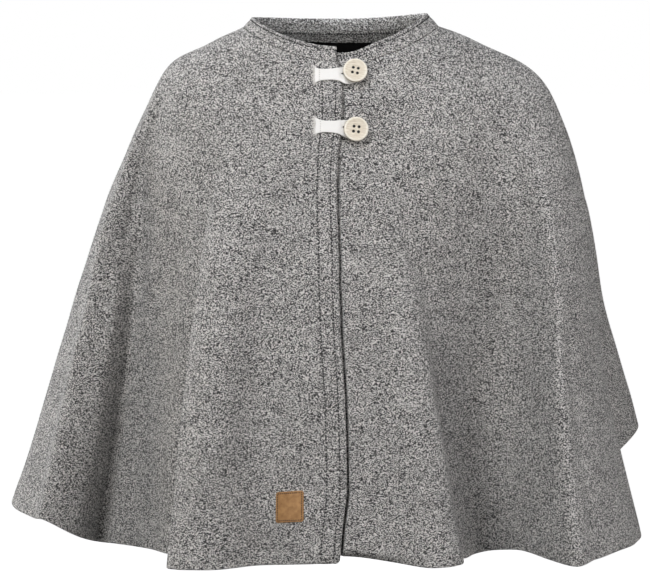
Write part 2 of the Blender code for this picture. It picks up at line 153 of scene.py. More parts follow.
capeForm = {
    "ringColumns": "level left right front back zLeft zRight zFront zBack square fold",
    "rings": [
        (0.000, 104, 105, 85, 70, -6, -5, -39, -12, 1.00, 0.00),  # neck seam
        (0.085, 144, 143, 101, 93, -26, -19, -82, -38, 0.97, 0.00),  # yoke
        (0.170, 184, 206, 114, 115, -46, -52, -136, -80, 0.94, 0.00),  # shoulder
        (0.270, 215.5, 243, 128, 137, -105, -104, -205, -140, 0.90, 0.16),  # upper arm
        (0.420, 247.5, 269, 143, 160, -185, -186, -281, -225, 0.86, 0.42),  # elbow
        (0.680, 296.5, 292, 162, 186, -346, -348, -399, -355, 0.83, 0.74),  # forearm
        (1.000, 356, 338, 186, 215, -545, -530, -545, -515, 0.80, 1.00),  # hem
    ],
    "ringSoftness": 0.03,
    "bandTop": (0, 94, 92, 78, 64, 4.5, 9, -23.5, 1.5, 1.00, 0.00),
    "folds": [  # azimuth at the hem, lean (how much further round it is at the neck), x, y, z at the hem
        (-146, 0, -218, 222, -522),
        (-129, 0, -268, 148, -536),
        (-111, 0, -338, 118, -537),
        (-93, -8, -370, 24, -538.5),  # left flare
        (-72, -30, -335, -60, -534),
        (-60, -19.5, -310, -84, -534),
        (-56.5, -16.5, -293, -74, -547),
        (-54, -14.5, -284, -63, -555),
        (-51.5, -13, -278.5, -40, -565),
        (-48.5, -12, -272, -11, -576.5),  # left hollow
        (-44.5, -12, -254.5, -28, -573),
        (-39.5, -12.5, -230, -50, -569),
        (-34.5, -13, -205, -84, -562),
        (-30.5, -13, -188, -113.5, -557),
        (-27.5, -12.5, -175, -130, -556),
        (-26.2, -12, -173, -149, -555),
        (-25.2, -11.5, -177, -168, -552),
        (-24.2, -11, -178.5, -184, -550),  # left ridge, which laps over the hollow's side
        (-22.5, -10, -169.5, -197, -547.5),
        (-19.5, -9, -149, -207, -545),
        (-15, -8, -124, -200, -547),
        (-10, -6, -88, -172, -552),
        (-4, -3, -42, -186, -546),
        (0, 0, 0, -187, -545),
        (5.3, -2, 50, -190, -547),
        (12.5, -7, 100, -197, -546),  # left front's ridge
        (16, -4.5, 120, -186, -547),
        (17.2, -3.5, 127, -173, -549),
        (17.9, -2.8, 128.5, -156, -552),
        (18.6, -2, 127.5, -138, -556),
        (19.4, -1, 129, -120, -561),
        (20.4, 0, 134.5, -105, -565.5),
        (22, 1.5, 144, -84, -568.5),
        (24, 4, 154, -70, -570.5),  # right hollow
        (26.5, 6.5, 166, -68, -569),
        (29, 9, 179, -80, -564.5),
        (31.5, 12, 192, -101, -558.5),
        (34.5, 15, 209, -142, -551.5),
        (38, 18, 231, -192, -545),  # right ridge
        (46, 20, 263, -172, -545),
        (56, 18, 294, -128, -550),
        (70, 12, 321.5, -74, -558),
        (84, 4, 330, -24, -558),  # right flare
        (99, 0, 284, 44, -536),
        (115, -5, 366, 188, -491),  # flare behind
        (133, 0, 258, 205, -508),
        (149, 0, 190, 246, -508),
        (164, 0, 96, 200, -515),
        (181, 0, -12, 238, -514),
        (198, 0, -118, 196, -519),
    ],
    "lapColumns": "level back down edgeX fadeFrom fadeTo",
    "laps": [  # how far the left front lies back and down, x of the right front's edge, azimuths of its fade
        (0.00, 5.6, 6.5, -3.0, 3.0, 28.0),
        (0.05, 5.7, 5.6, 1.2, 2.8, 27.0),
        (0.11, 5.8, 4.8, 1.4, 2.7, 27.0),
        (0.16, 5.8, 4.0, -2.6, 2.5, 26.0),
        (0.21, 6.1, 3.4, -4.3, 2.4, 25.0),
        (0.26, 6.5, 2.8, -3.6, 2.2, 24.0),
        (0.33, 7.0, 2.0, -2.1, 2.0, 23.0),
        (0.38, 7.3, 1.4, -2.4, 1.8, 22.0),
        (0.43, 7.5, 0.9, -1.2, 1.7, 21.5),
        (0.50, 8.0, 0.0, -0.2, 1.5, 20.0),
        (0.63, 8.6, -0.7, 3.8, 1.3, 19.0),
        (0.76, 9.1, -1.5, 5.5, 1.1, 18.0),
        (0.85, 9.5, -2.0, 6.0, 1.0, 17.0),
        (0.93, 10.8, -3.6, 1.5, 1.0, 14.5),
        (1.00, 12.0, -5.0, -1.2, 1.0, 12.0),
    ],
    "underlap": 28.0,
    "seams": (-90.0, 90.0),
    "seamGap": 0.3,
    "search": (40, 161, 201),  # grid for looking up places: degrees to each side, columns, levels
}


def blend(low, high, value):
    share = np.clip((value - low) / (high - low), 0, 1)
    return share * share * (3 - 2 * share)


def swells(rows, at):
    # heights at some distances, from rows of middle, half width and height
    return sum(height * np.exp(-(((at - middle) / width) ** 2)) for middle, width, height in rows)


def unit(vectors):
    return vectors / np.linalg.norm(vectors, axis=-1, keepdims=True)


def stepsOf(points, axis=0):
    return np.linalg.norm(np.diff(points, axis=axis), axis=-1)


def through(knots, points, at):
    # smooth curve through points (knots, places, xyz), read at one knot value for each place
    knots = np.asarray(knots, float)
    steps = np.diff(knots)
    slopes = np.diff(points, axis=0) / steps[:, None, None]
    before, after = steps[:-1, None, None], steps[1:, None, None]
    inner = (slopes[:-1] * after + slopes[1:] * before) / (before + after)
    tangents = np.concatenate([slopes[:1], inner, slopes[-1:]])
    span = np.clip(np.searchsorted(knots, at, side="right") - 1, 0, len(steps) - 1)
    place = np.arange(len(at))
    step = steps[span][:, None]
    share = ((at - knots[span]) / steps[span])[:, None]
    start, end = points[span, place], points[span + 1, place]
    leave, arrive = tangents[span, place] * step, tangents[span + 1, place] * step
    square, cube = share**2, share**3
    return (
        start * (2 * cube - 3 * square + 1)
        + leave * (cube - 2 * square + share)
        + end * (3 * square - 2 * cube)
        + arrive * (cube - square)
    )


def tableAt(knots, rows, at):
    # the same curve, through the rows of a table
    return through(knots, np.repeat(np.array(rows, float)[:, None], len(at), axis=1), at)


def squared(share, square):
    # a sine or cosine, drawn out towards a square, and round where it crosses zero
    soft = capeForm["ringSoftness"]
    return share * ((share**2 + soft) / (1 + soft)) ** ((square - 1) / 2)


def ringAt(row, azimuth):
    ring = dict(zip(capeForm["ringColumns"].split(), row))
    angle = np.radians(azimuth)
    side, ahead = np.sin(angle), np.cos(angle)
    x = np.where(side > 0, ring["right"], ring["left"]) * squared(side, ring["square"])
    y = np.where(ahead > 0, -ring["front"], -ring["back"]) * squared(ahead, ring["square"])
    zSide = np.where(side > 0, ring["zRight"], ring["zLeft"])
    zAhead = np.where(ahead > 0, ring["zFront"], ring["zBack"])
    return np.stack([x, y, zSide * side**2 + zAhead * ahead**2], axis=-1)


def turnedFolds():
    # the folds in order, once before and once after the full turn
    rows = np.array(sorted(capeForm["folds"]), float)
    return np.concatenate([rows + (turn, 0, 0, 0, 0) for turn in (-360, 0, 360)])


foldRows = turnedFolds()


def foldAt(azimuth, level):
    # how far the hem's folds swing out from its ring, read further round higher up
    lean = tableAt(foldRows[:, 0], foldRows[:, 1:2], azimuth)[:, 0]
    source = azimuth - lean * (1 - level)
    return tableAt(foldRows[:, 0], foldRows[:, 2:], source) - ringAt(capeForm["rings"][-1], source)


def capeAt(azimuth, level):
    rings = capeForm["rings"]
    levels = [ring[0] for ring in rings]
    plain = through(levels, np.stack([ringAt(ring, azimuth) for ring in rings]), level)
    return plain + tableAt(levels, [ring[-1:] for ring in rings], level) * foldAt(azimuth, level)


def bandAt(azimuth, depth):
    # the neck band, depth 0 at its top edge and 1 at the seam
    high, low = ringAt(capeForm["bandTop"], azimuth), ringAt(capeForm["rings"][0], azimuth)
    return high + (low - high) * depth[:, None]


def normalsOf(form, azimuth, level):
    turn, climb = 0.05, 0.001
    around = form(azimuth + turn, level) - form(azimuth - turn, level)
    down = form(azimuth, np.minimum(level + climb, 1)) - form(azimuth, np.maximum(level - climb, 0))
    return unit(np.cross(down, around))


def lapAt(column, level):
    rows = np.array(capeForm["laps"])
    return np.interp(level, rows[:, 0], rows[:, capeForm["lapColumns"].split().index(column)])


def underlapShift(azimuth, level):
    share = 1 - blend(lapAt("fadeFrom", level), lapAt("fadeTo", level), azimuth)
    return np.stack([0 * share, lapAt("back", level) * share, -lapAt("down", level) * share], axis=-1)


formGrids = {}


def formGrid(middle):
    # azimuths, levels, and over both of them x and the distance below the neck seam along the cloth
    if middle not in formGrids:
        reach, columns, rows = capeForm["search"]
        azimuths, levels = middle + np.linspace(-reach, reach, columns), np.linspace(0, 1, rows)
        azimuth, level = np.meshgrid(azimuths, levels)
        points = capeAt(azimuth.ravel(), level.ravel()).reshape(*azimuth.shape, 3)
        drop = np.concatenate([np.zeros((1, columns)), np.cumsum(stepsOf(points), axis=0)])
        formGrids[middle] = azimuths, levels, points[..., 0], drop
    return formGrids[middle]


def rowAt(knots, table, at):
    # the row of a table at a place between its evenly spaced knots
    place = np.clip((at - knots[0]) / (knots[1] - knots[0]), 0, len(knots) - 1.001)
    row = int(place)
    return table[row] + (table[row + 1] - table[row]) * (place - row)


def azimuthsAtX(x, level, middle=0):
    # x is levels by columns, and so is what comes back
    azimuths, levels, xTable, _ = formGrid(middle)
    found = []
    for oneX, oneLevel in zip(np.atleast_2d(x), level):
        line = rowAt(levels, xTable, oneLevel)
        order = np.argsort(line)
        found.append(np.interp(oneX, line[order], azimuths[order]))
    return np.array(found)


def levelsAtDrop(azimuth, drop, middle=0):
    # the level that lies this far below the neck seam along the cloth or, if negative, above the hem
    azimuths, levels, _, drops = formGrid(middle)
    found = []
    for one, distance in zip(azimuth, drop):
        line = rowAt(azimuths, drops.T, one)
        found.append(np.interp(line[-1] + distance if distance < 0 else distance, line, levels))
    return np.array(found)


def placeOn(x, drop, middle=0):
    level = levelsAtDrop(np.full_like(x, middle), drop, middle)
    for _ in range(2):
        azimuth = azimuthsAtX(x[:, None], level, middle)[:, 0]
        level = levelsAtDrop(azimuth, drop, middle)
    return azimuth, level


# Creases that the cloth takes on that form

clothCreases = {
    "creases": [  # path as azimuth and level, half width, height (below 0: a trough), fades at its ends
        ([(-34, 0.20), (-25, 0.446), (-21.5, 0.65), (-20.5, 0.90)], 20, 7.5, (0.35, 0.20)),  # left ridge
        ([(-66, 0.28), (-65, 0.40), (-60, 0.48), (-56, 0.64)], 15, -4.0, (0.35, 0.40)),  # by the left flare
        ([(-75, 0.36), (-78, 0.62)], 15, 3.0, (0.40, 0.40)),
        ([(46, 0.18), (34, 0.275), (29, 0.333), (24, 0.42)], 14, -4.0, (0.35, 0.40)),  # left shoulder
        ([(46, 0.25), (39, 0.49)], 14, 2.5, (0.40, 0.40)),
        ([(42, 0.54), (36, 0.82)], 13, -3.0, (0.40, 0.40)),
        ([(108, 0.25), (112, 0.50)], 14, -3.0, (0.40, 0.40)),  # the back, from the wearer's left
        ([(130, 0.30), (138, 0.55), (140, 0.80)], 16, 3.0, (0.40, 0.40)),
        ([(150, 0.20), (160, 0.40), (164, 0.62)], 16, -3.5, (0.40, 0.35)),
        ([(196, 0.25), (190, 0.50), (186, 0.75)], 18, 3.0, (0.40, 0.40)),
        ([(222, 0.22), (214, 0.42), (205, 0.60)], 15, -3.5, (0.35, 0.40)),
        ([(238, 0.45), (236, 0.80)], 14, -2.5, (0.40, 0.40)),
        ([(252, 0.30), (256, 0.55)], 15, -3.0, (0.40, 0.40)),
    ],
    "pathPoints": 40,
    "waves": {"count": 30, "lengths": (36, 130), "height": 0.5, "fullFrom": 0.06, "seed": 11},
}


def unevenness(points):
    waves = clothCreases["waves"]
    dice = np.random.default_rng(waves["seed"])
    total = np.zeros(len(points))
    for _ in range(waves["count"]):
        heading = dice.normal(size=3)
        length = dice.uniform(*waves["lengths"])
        phase = dice.uniform(0, 2 * math.pi)
        total += np.sin(points @ heading / np.linalg.norm(heading) * 2 * math.pi / length + phase) * length
    return total / waves["lengths"][1] * waves["height"] / math.sqrt(waves["count"] / 6)


def creaseHeight(points):
    total = np.zeros(len(points))
    for path, halfWidth, height, (fadeIn, fadeOut) in clothCreases["creases"]:
        knots = np.array(path, float)
        along = np.linspace(0, len(knots) - 1, clothCreases["pathPoints"])
        line = capeAt(*(np.interp(along, range(len(knots)), column) for column in knots.T))
        reach = np.ptp(line, axis=0) / 2 + 3 * halfWidth
        near = np.where(np.all(np.abs(points - line.mean(0)) < reach, axis=1))[0]
        best, share = np.full(len(near), np.inf), np.zeros(len(near))
        for step, (start, end) in enumerate(zip(line, line[1:])):
            run = end - start
            part = np.clip((points[near] - start) @ run / max(run @ run, 1e-9), 0, 1)
            distance = np.linalg.norm(points[near] - start - part[:, None] * run, axis=1)
            closer = distance < best
            best = np.where(closer, distance, best)
            share = np.where(closer, (step + part) / (len(line) - 1), share)
        fade = blend(0, fadeIn, share) * blend(0, fadeOut, 1 - share)
        total[near] += fade * swells([(0, halfWidth, height)], best)
    return total


def clothFace(azimuth, level):
    # the outer face of the wool, with its creases, and its outward directions
    points, normal = capeAt(azimuth, level), normalsOf(capeAt, azimuth, level)
    raised = creaseHeight(points) + unevenness(points) * blend(0, clothCreases["waves"]["fullFrom"], level)
    return points + normal * raised[:, None], normal


# Materials


def noiseAt(tree, vector, scale, detail=2.0, roughness=0.5, distortion=0.0):
    inputs = {"Vector": vector, "Scale": scale, "Detail": detail}
    inputs.update({"Roughness": roughness, "Distortion": distortion})
    return newNode(tree, "ShaderNodeTexNoise", inputs).outputs["Fac"]


def mathOf(tree, operation, first, second=0.0):
    return newNode(tree, "ShaderNodeMath", {0: first, 1: second}, operation=operation).outputs[0]


def waveOf(tree, value, pitch):
    return mathOf(tree, "SINE", mathOf(tree, "MULTIPLY", value, 2 * math.pi / pitch))


def rangeOf(tree, value, low, high):
    inputs = {"Value": value, "From Min": low, "From Max": high}
    return newNode(tree, "ShaderNodeMapRange", inputs).outputs["Result"]


def stretched(tree, vector, scale):
    return newNode(tree, "ShaderNodeMapping", {"Vector": vector, "Scale": scale}).outputs["Vector"]


def rampOf(tree, value, stops):
    ramp = newNode(tree, "ShaderNodeValToRGB", {"Fac": value})
    elements = ramp.color_ramp.elements
    while len(elements) < len(stops):
        elements.new(0.5)
    for element, (place, colour) in zip(elements, stops):
        element.position = place
        element.color = (*colour, 1)
    return ramp.outputs["Color"]


def weighted(tree, parts):
    # the sum of some values, each times its weight
    total = mathOf(tree, "MULTIPLY", *parts[0])
    for value, weight in parts[1:]:
        total = mathOf(tree, "ADD", total, mathOf(tree, "MULTIPLY", value, weight))
    return total


def finish(tree, shader, colour, height, strength, distance):
    # colour and bump on a material
    tree.links.new(colour, shader.inputs["Base Color"])
    bump = newNode(tree, "ShaderNodeBump", {"Height": height, "Strength": strength, "Distance": distance})
    tree.links.new(bump.outputs["Normal"], shader.inputs["Normal"])


woolLook = {
    "stops": [(0.0, (0.012, 0.012, 0.013)), (0.5, (0.232, 0.226, 0.221)), (1.0, (0.74, 0.72, 0.70))],
    "constants": {"Roughness": 0.95, "Sheen Weight": 0.2, "Sheen Roughness": 0.6, "Specular IOR Level": 0.15},
    "inside": 1.7,  # painted light: how much brighter the inner face is drawn, standing in for light inside the cape
    "lightest": 0.95,
    "lie": (1, 0.42, 1.6),  # the flecks are flatter than wide, and run deep
    "noises": [  # per metre, weight, detail, distortion
        (740, 0.90, 0.0, 0.2),  # flecks
        (520, 0.30, 1.0, 1.2),  # strands
        (2400, 0.34, 0.0, 2.5),  # fibres
        (200, 0.08, 1.0, 0.0),  # clumps
    ],
    "cloudLie": (1, 1, 3.2),
    "clouds": (26, 0.10),
    "span": 0.100,
    "bump": (0.55, 0.0012),
}


# wool flecks; a factor above 1 draws a brighter copy of the wool, as painted light
def makeWool(name, paintedLight):
    material, tree, shader = newMaterial(name, woolLook["constants"])
    place = newNode(tree, "ShaderNodeTexCoord").outputs["Object"]
    flecked, clouded = (stretched(tree, place, woolLook[key]) for key in ("lie", "cloudLie"))
    parts = [
        (noiseAt(tree, flecked, scale, detail, 0.5, distortion), weight)
        for scale, weight, detail, distortion in woolLook["noises"]
    ]
    scale, weight = woolLook["clouds"]
    parts.append((noiseAt(tree, clouded, scale), weight))
    mixed = weighted(tree, parts)
    middle = sum(weight for _, weight in parts) / 2
    spread = rangeOf(tree, mixed, middle - woolLook["span"], middle + woolLook["span"])
    stops = [
        (place, tuple(min(part * paintedLight, woolLook["lightest"]) for part in colour))
        for place, colour in woolLook["stops"]
    ]
    finish(tree, shader, rampOf(tree, spread, stops), mixed, *woolLook["bump"])
    return material


threadLook = {
    "constants": {"Roughness": 0.8, "Sheen Weight": 0.15},
    "twist": (900, 2.0, 0.6, 0.5),  # as noiseAt takes them
    "places": (0.3, 0.7),
    "bump": (0.5, 0.0004),
    "colours": {
        "darkThread": [(0.006, 0.006, 0.007), (0.03, 0.03, 0.031)],
        "whiteThread": [(0.62, 0.60, 0.57), (0.88, 0.86, 0.84)],
        "blackThread": [(0.002, 0.002, 0.002), (0.012, 0.012, 0.012)],
        "brownThread": [(0.05, 0.022, 0.008), (0.12, 0.06, 0.022)],
    },
}


def makeThread(name):
    material, tree, shader = newMaterial(name, threadLook["constants"])
    place = newNode(tree, "ShaderNodeTexCoord").outputs["Object"]
    twist = noiseAt(tree, place, *threadLook["twist"])
    stops = list(zip(threadLook["places"], threadLook["colours"][name]))
    finish(tree, shader, rampOf(tree, twist, stops), twist, *threadLook["bump"])
    return material


tapeLook = {
    "stops": [(0.15, (0.90, 0.88, 0.85)), (0.75, (0.99, 0.98, 0.96))],
    "constants": {"Roughness": 0.9, "Sheen Weight": 0.2, "Specular IOR Level": 0.2},
    "pitch": (1.3, 0.9),  # of the threads along and across it
    "weave": 0.25,
    "fuzz": (2.2, 2.0, 0.6),
    "bump": (0.4, 0.0005),
}

# the label's cloth is drawn near black, darker than black cloth, so that it also gives painted shade inside
# the back of the neck
labelAndShadeLook = {
    "stops": [(0.2, (0.0008, 0.0008, 0.001)), (0.8, (0.004, 0.004, 0.0045))],
    "constants": {"Roughness": 0.9, "Specular IOR Level": 0.1},
    "pitch": (0.8, 0.8),
    "weave": 0.3,
    "fuzz": (2.0, 2.0, 0.5),
    "bump": (0.4, 0.0003),
}


def makeWoven(name, look):
    # threads that cross, on the piece's own map in millimetres
    material, tree, shader = newMaterial(name, look["constants"])
    flat = newNode(tree, "ShaderNodeUVMap", uv_map="clothMap").outputs["UV"]
    axes = newNode(tree, "ShaderNodeSeparateXYZ", {"Vector": flat}).outputs
    waves = [waveOf(tree, axes[key], pitch) for key, pitch in zip("XY", look["pitch"])]
    weave = mathOf(tree, "MULTIPLY", mathOf(tree, "MULTIPLY", *waves), look["weave"])
    height = mathOf(tree, "ADD", weave, noiseAt(tree, flat, *look["fuzz"]))
    finish(tree, shader, rampOf(tree, height, look["stops"]), height, *look["bump"])
    return material


woodLook = {
    "stops": [(0.35, (0.58, 0.49, 0.37)), (0.78, (0.88, 0.81, 0.68)), (1.0, (0.97, 0.93, 0.84))],
    "constants": {"Roughness": 0.5, "Coat Weight": 0.15, "Coat Roughness": 0.35},
    "side": (0.30, 0.20, 0.12, 1),
    "rim": (10.0, 11.4),  # radii between which the face lightens, in millimetres
    "sideFrom": (12.45, 12.62),
    "ringPitch": 0.9,
    "grainLie": (0.12, 1.0, 1.0),
    "grain": (1.1, 3.0, 0.6, 0.4),
    "pores": (3.2, 1.0),
    "weights": (1.0, 0.05, 0.2, 0.3),  # of grain, rings, pores and rim
    "ringHeight": 0.5,
    "bump": (0.25, 0.0003),
}


def makeWood():
    # rings from the tool, long grain and a few pores, on the button's own map in millimetres
    material, tree, shader = newMaterial("turnedWood", woodLook["constants"])
    flat = newNode(tree, "ShaderNodeUVMap", uv_map="faceMap").outputs["UV"]
    reach = newNode(tree, "ShaderNodeVectorMath", {0: flat}, operation="LENGTH").outputs["Value"]
    turned = waveOf(tree, reach, woodLook["ringPitch"])
    along = stretched(tree, flat, woodLook["grainLie"])
    grain, pores = (noiseAt(tree, along, *woodLook[key]) for key in ("grain", "pores"))
    rim, side = (rangeOf(tree, reach, *woodLook[key]) for key in ("rim", "sideFrom"))
    shade = weighted(tree, list(zip((grain, turned, pores, rim), woodLook["weights"])))
    colour = newNode(tree, "ShaderNodeMix", {"Factor": side, 7: woodLook["side"]}, data_type="RGBA")
    tree.links.new(rampOf(tree, shade, woodLook["stops"]), colour.inputs[6])
    height = mathOf(tree, "ADD", mathOf(tree, "MULTIPLY", turned, woodLook["ringHeight"]), pores)
    finish(tree, shader, colour.outputs[2], height, *woodLook["bump"])
    return material


leatherLook = {
    "stops": [(0.35, (0.26, 0.12, 0.035)), (0.85, (0.50, 0.27, 0.10))],
    "constants": {"Roughness": 0.62, "Coat Weight": 0.05},
    "pebbles": 1.5,
    "mottle": (0.16, 3.0, 0.55),
    "fine": (2.5, 2.0, 0.6),
    "weights": (1.0, 0.35, -0.12),  # of mottling, fine grain and pebbles
    "pebbleHeight": -0.6,
    "bump": (0.35, 0.0004),
}


def makeLeather():
    # pebble grain and mottling, on the patch's own map in millimetres
    material, tree, shader = newMaterial("tanLeather", leatherLook["constants"])
    flat = newNode(tree, "ShaderNodeUVMap", uv_map="patchMap").outputs["UV"]
    voronoi = newNode(tree, "ShaderNodeTexVoronoi", {"Vector": flat, "Scale": leatherLook["pebbles"]})
    pebble = voronoi.outputs["Distance"]
    mottle, fine = (noiseAt(tree, flat, *leatherLook[key]) for key in ("mottle", "fine"))
    shade = weighted(tree, list(zip((mottle, fine, pebble), leatherLook["weights"])))
    height = mathOf(tree, "ADD", mathOf(tree, "MULTIPLY", pebble, leatherLook["pebbleHeight"]), fine)
    finish(tree, shader, rampOf(tree, shade, leatherLook["stops"]), height, *leatherLook["bump"])
    return material


feltedWool = makeWool("feltedWool", 1.0)
# painted light: the inner skins get a brighter copy of the wool, standing in for light inside the cape
woolInsidePaintedLight = makeWool("woolInsidePaintedLight", woolLook["inside"])
threads = {name: makeThread(name) for name in threadLook["colours"]}
cottonTape = makeWoven("cottonTape", tapeLook)
turnedWood = makeWood()
tanLeather = makeLeather()
blackLabelAndShade = makeWoven("blackLabelAndShade", labelAndShadeLook)
print("materials ready")

# Meshes


def claim(piece, node=None):
    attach(piece, "root")
    if node:
        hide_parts(node)


def newPiece(name, verts, faces, material, node=None):
    mesh = bpy.data.meshes.new(name)
    mesh.from_pydata((np.asarray(verts) * mm).tolist(), [], faces)
    mesh.shade_smooth()
    mesh.materials.append(material)
    piece = bpy.data.objects.new(name, mesh)
    bpy.context.collection.objects.link(piece)
    claim(piece, node)
    return piece


def cornersOf(piece):
    corners = np.empty(len(piece.data.loops), int)
    piece.data.loops.foreach_get("vertex_index", corners)
    return corners


def giveMap(piece, name, flat):
    # a UV map in millimetres, from one flat place for each vertex
    layer = piece.data.uv_layers.new(name=name)
    layer.data.foreach_set("uv", np.asarray(flat, float)[cornersOf(piece)].ravel())


def gridFaces(rows, columns):
    index = np.arange(rows * columns).reshape(rows, columns)
    return index, np.stack([index[:-1, :-1], index[1:, :-1], index[1:, 1:], index[:-1, 1:]], axis=-1)


def shellFaces(rows, columns):
    # outer and inner skin of a sheet, joined by a rim
    index, skin = gridFaces(rows, columns)
    skin, count = skin.reshape(-1, 4), rows * columns
    rim = np.concatenate([index[0, :], index[1:, -1], index[-1, -2::-1], index[-2:0:-1, 0]])
    after = np.roll(rim, -1)
    edge = np.stack([rim, after, after + count, rim + count], axis=-1)
    return np.concatenate([skin, skin[:, ::-1] + count, edge])


def edgeDistances(points, sewn):
    # distance of each point of a grid to its nearest edge; a sewn edge counts as further off
    down, across = (
        np.cumsum(np.pad(stepsOf(points, axis), [(1 - axis, 0), (axis, 0)]), axis=axis) for axis in range(2)
    )
    parts = {"top": down, "bottom": down[-1:] - down, "first": across, "last": across[:, -1:] - across}
    counted = [part * (panelCut["sewnEdge"] if name in sewn else 1) for name, part in parts.items()]
    return np.min(counted, axis=0)


def makeShell(name, node, points, normal, thick, sewn, material, slot):
    # a sheet under a grid of points, both skins drawn in near its edges so that they are round
    radius = thick / 2
    away = np.clip(1 - edgeDistances(points, sewn) / radius, 0, 1)
    draw = panelCut["edgeRound"] * radius * (1 - np.sqrt(1 - away**2))
    skins = [points - normal * deep[..., None] for deep in (draw, thick - draw)]
    verts = np.concatenate([skin.reshape(-1, 3) for skin in skins])
    return newPiece(name, verts, shellFaces(*points.shape[:2]).tolist(), material, node)


def makeWoolShell(name, node, points, normal, thick, sewn):
    # a sheet of wool, its inner skin in a brighter copy of the wool: painted light
    piece = makeShell(name, node, points, normal, thick, sewn, feltedWool, "wool")
    piece.data.materials.append(woolInsidePaintedLight)
    inner = cornersOf(piece).reshape(-1, 4).min(axis=1) >= len(piece.data.vertices) // 2
    piece.data.polygons.foreach_set("material_index", inner.astype(np.int32))
    print(name, "with", len(piece.data.polygons), "faces")
    return piece


def overGrid(face, first, second):
    # a face's points and directions at each place of two grids
    return [part.reshape(*first.shape, 3) for part in face(first.ravel(), second.ravel())]


# Wool panels

panelCut = {
    "wool": 2.5,
    "facingWidth": 27.0,  # front edge turned back and sewn down
    "facingThick": 4.5,
    "facingFade": (-0.5, 0.9),
    "step": 3.0,  # size of the mesh
    "backStep": 4.0,
    "meshLength": 560.0,  # from neck to hem
    "meshEven": (0.45, 0.8, 1.0),  # levels along which the mesh is even
    "meshBase": 0.25,
    "samples": (600, 400),
    "nearEdge": (0.0, 0.12, 0.45, 1.0, 1.9),  # distances of the first lines of mesh from an edge
    "placketLines": (1.9, 31, 1.2),  # start, end and step of the lines across the facing
    "edgeRound": 0.9,
    "sewnEdge": 2.5,
    "cornerRadius": 5.0,
    "ribLength": 540.0,  # of the cloth down the middle of the front
    "stitchRows": [(7.0, 1.5, 1.1), (20.5, 1.5, 0.88)],  # distance from the edge, half width and depth
    "slack": 0.15,  # share of that depth at the neck
    "puckers": [(0.25, 11.0, 0), (0.2, 7.3, 1)],  # share, length and phase
    "swells": [(3.5, 3.2, 0.7), (13.75, 6.0, 0.245), (14.0, 9.0, 1.1)],  # distance, half width and height
    "roll": (5.0, 1.2),  # the front edge bends back, over this width and by this much
    "slot": (1.7, 3.6),  # distances from that edge over which the left front comes up beside it
    "slotRise": 0.74,
    "slotSpans": [  # levels it starts and ends over: between the loops, and from below them to the hem
        ((0.054, 0.066), (0.100, 0.112)),
        ((0.165, 0.190), (0.980, 1.010)),
    ],
    "slotLines": (
        (-8, -5, -3, -1.5, -0.5, 0.3, 0.9, 1.4, 1.8, 2.2)
        + (2.6, 3.0, 3.4, 3.8, 4.2, 4.8, 5.6, 7, 9, 11.5)
    ),
}


def gathered(length, step):
    # shares from 0 to 1, even in the middle and closer at both ends
    lines = np.array(panelCut["nearEdge"]) / length
    middle = np.linspace(lines[-1], 1 - lines[-1], int(length / step))
    return np.concatenate([lines[:-1], middle, 1 - lines[-2::-1]])


def evenAzimuths(start, end, count):
    # shares from 0 to 1 that are even along the hem and the elbow, not in azimuth
    tries = np.linspace(start, end, panelCut["samples"][0])
    total = sum(stepsOf(capeAt(tries, np.full_like(tries, level))) for level in panelCut["meshEven"])
    total = total + total.mean() * panelCut["meshBase"]
    lengths = np.concatenate([[0], np.cumsum(total)]) / total.sum()
    return (np.interp(np.linspace(0, 1, count), lengths, tries) - start) / (end - start)


def perDegree(azimuth, level):
    at = np.full_like(level, azimuth)
    return np.linalg.norm(capeAt(at + 0.5, level) - capeAt(at - 0.5, level), axis=1)


def columnsFrom(start, end, level, startLines, endLines, step):
    # azimuths, levels by columns, with mesh lines gathered at both edges
    atStart = start[:, None] + np.outer(1 / perDegree(start.mean(), level), startLines)
    atEnd = end[:, None] - np.outer(1 / perDegree(end.mean(), level), endLines)
    hem = np.linspace(start[-1], end[-1], panelCut["samples"][1])
    count = int(round(stepsOf(capeAt(hem, np.ones_like(hem))).sum() / step))
    share = evenAzimuths(start[-1], end[-1], count)
    middle = atStart[:, -1:] + (atEnd[:, -1] - atStart[:, -1])[:, None] * share
    return np.concatenate([atStart[:, :-1], middle, atEnd[:, -2::-1]], axis=1)


def besideSeam(seam, side, level):
    return seam + side * capeForm["seamGap"] / 2 / perDegree(seam, level)


def makePanel(name, node, azimuth, level, thick, sewn, relief=0.0, shift=0.0):
    points, normal = overGrid(clothFace, azimuth, np.broadcast_to(level, azimuth.shape))
    points = points + normal * np.asarray(relief)[..., None] + shift
    return makeWoolShell(name, node, points, normal, thick, sewn)


def placketRelief(distance, drop):
    # sewing pulls the facing in along its rows, less near the neck, and the wool stands up between them
    pucker = 1 + sum(
        share * np.sin(drop * 2 * math.pi / length + phase) for share, length, phase in panelCut["puckers"]
    )
    taut = panelCut["slack"] + (1 - panelCut["slack"]) * drop / panelCut["ribLength"]
    width, bend = panelCut["roll"]
    roll = bend * np.clip(1 - distance / width, 0, 1) ** 2
    sunk = taut * pucker * swells(panelCut["stitchRows"], distance)
    return swells(panelCut["swells"], distance) - sunk - roll


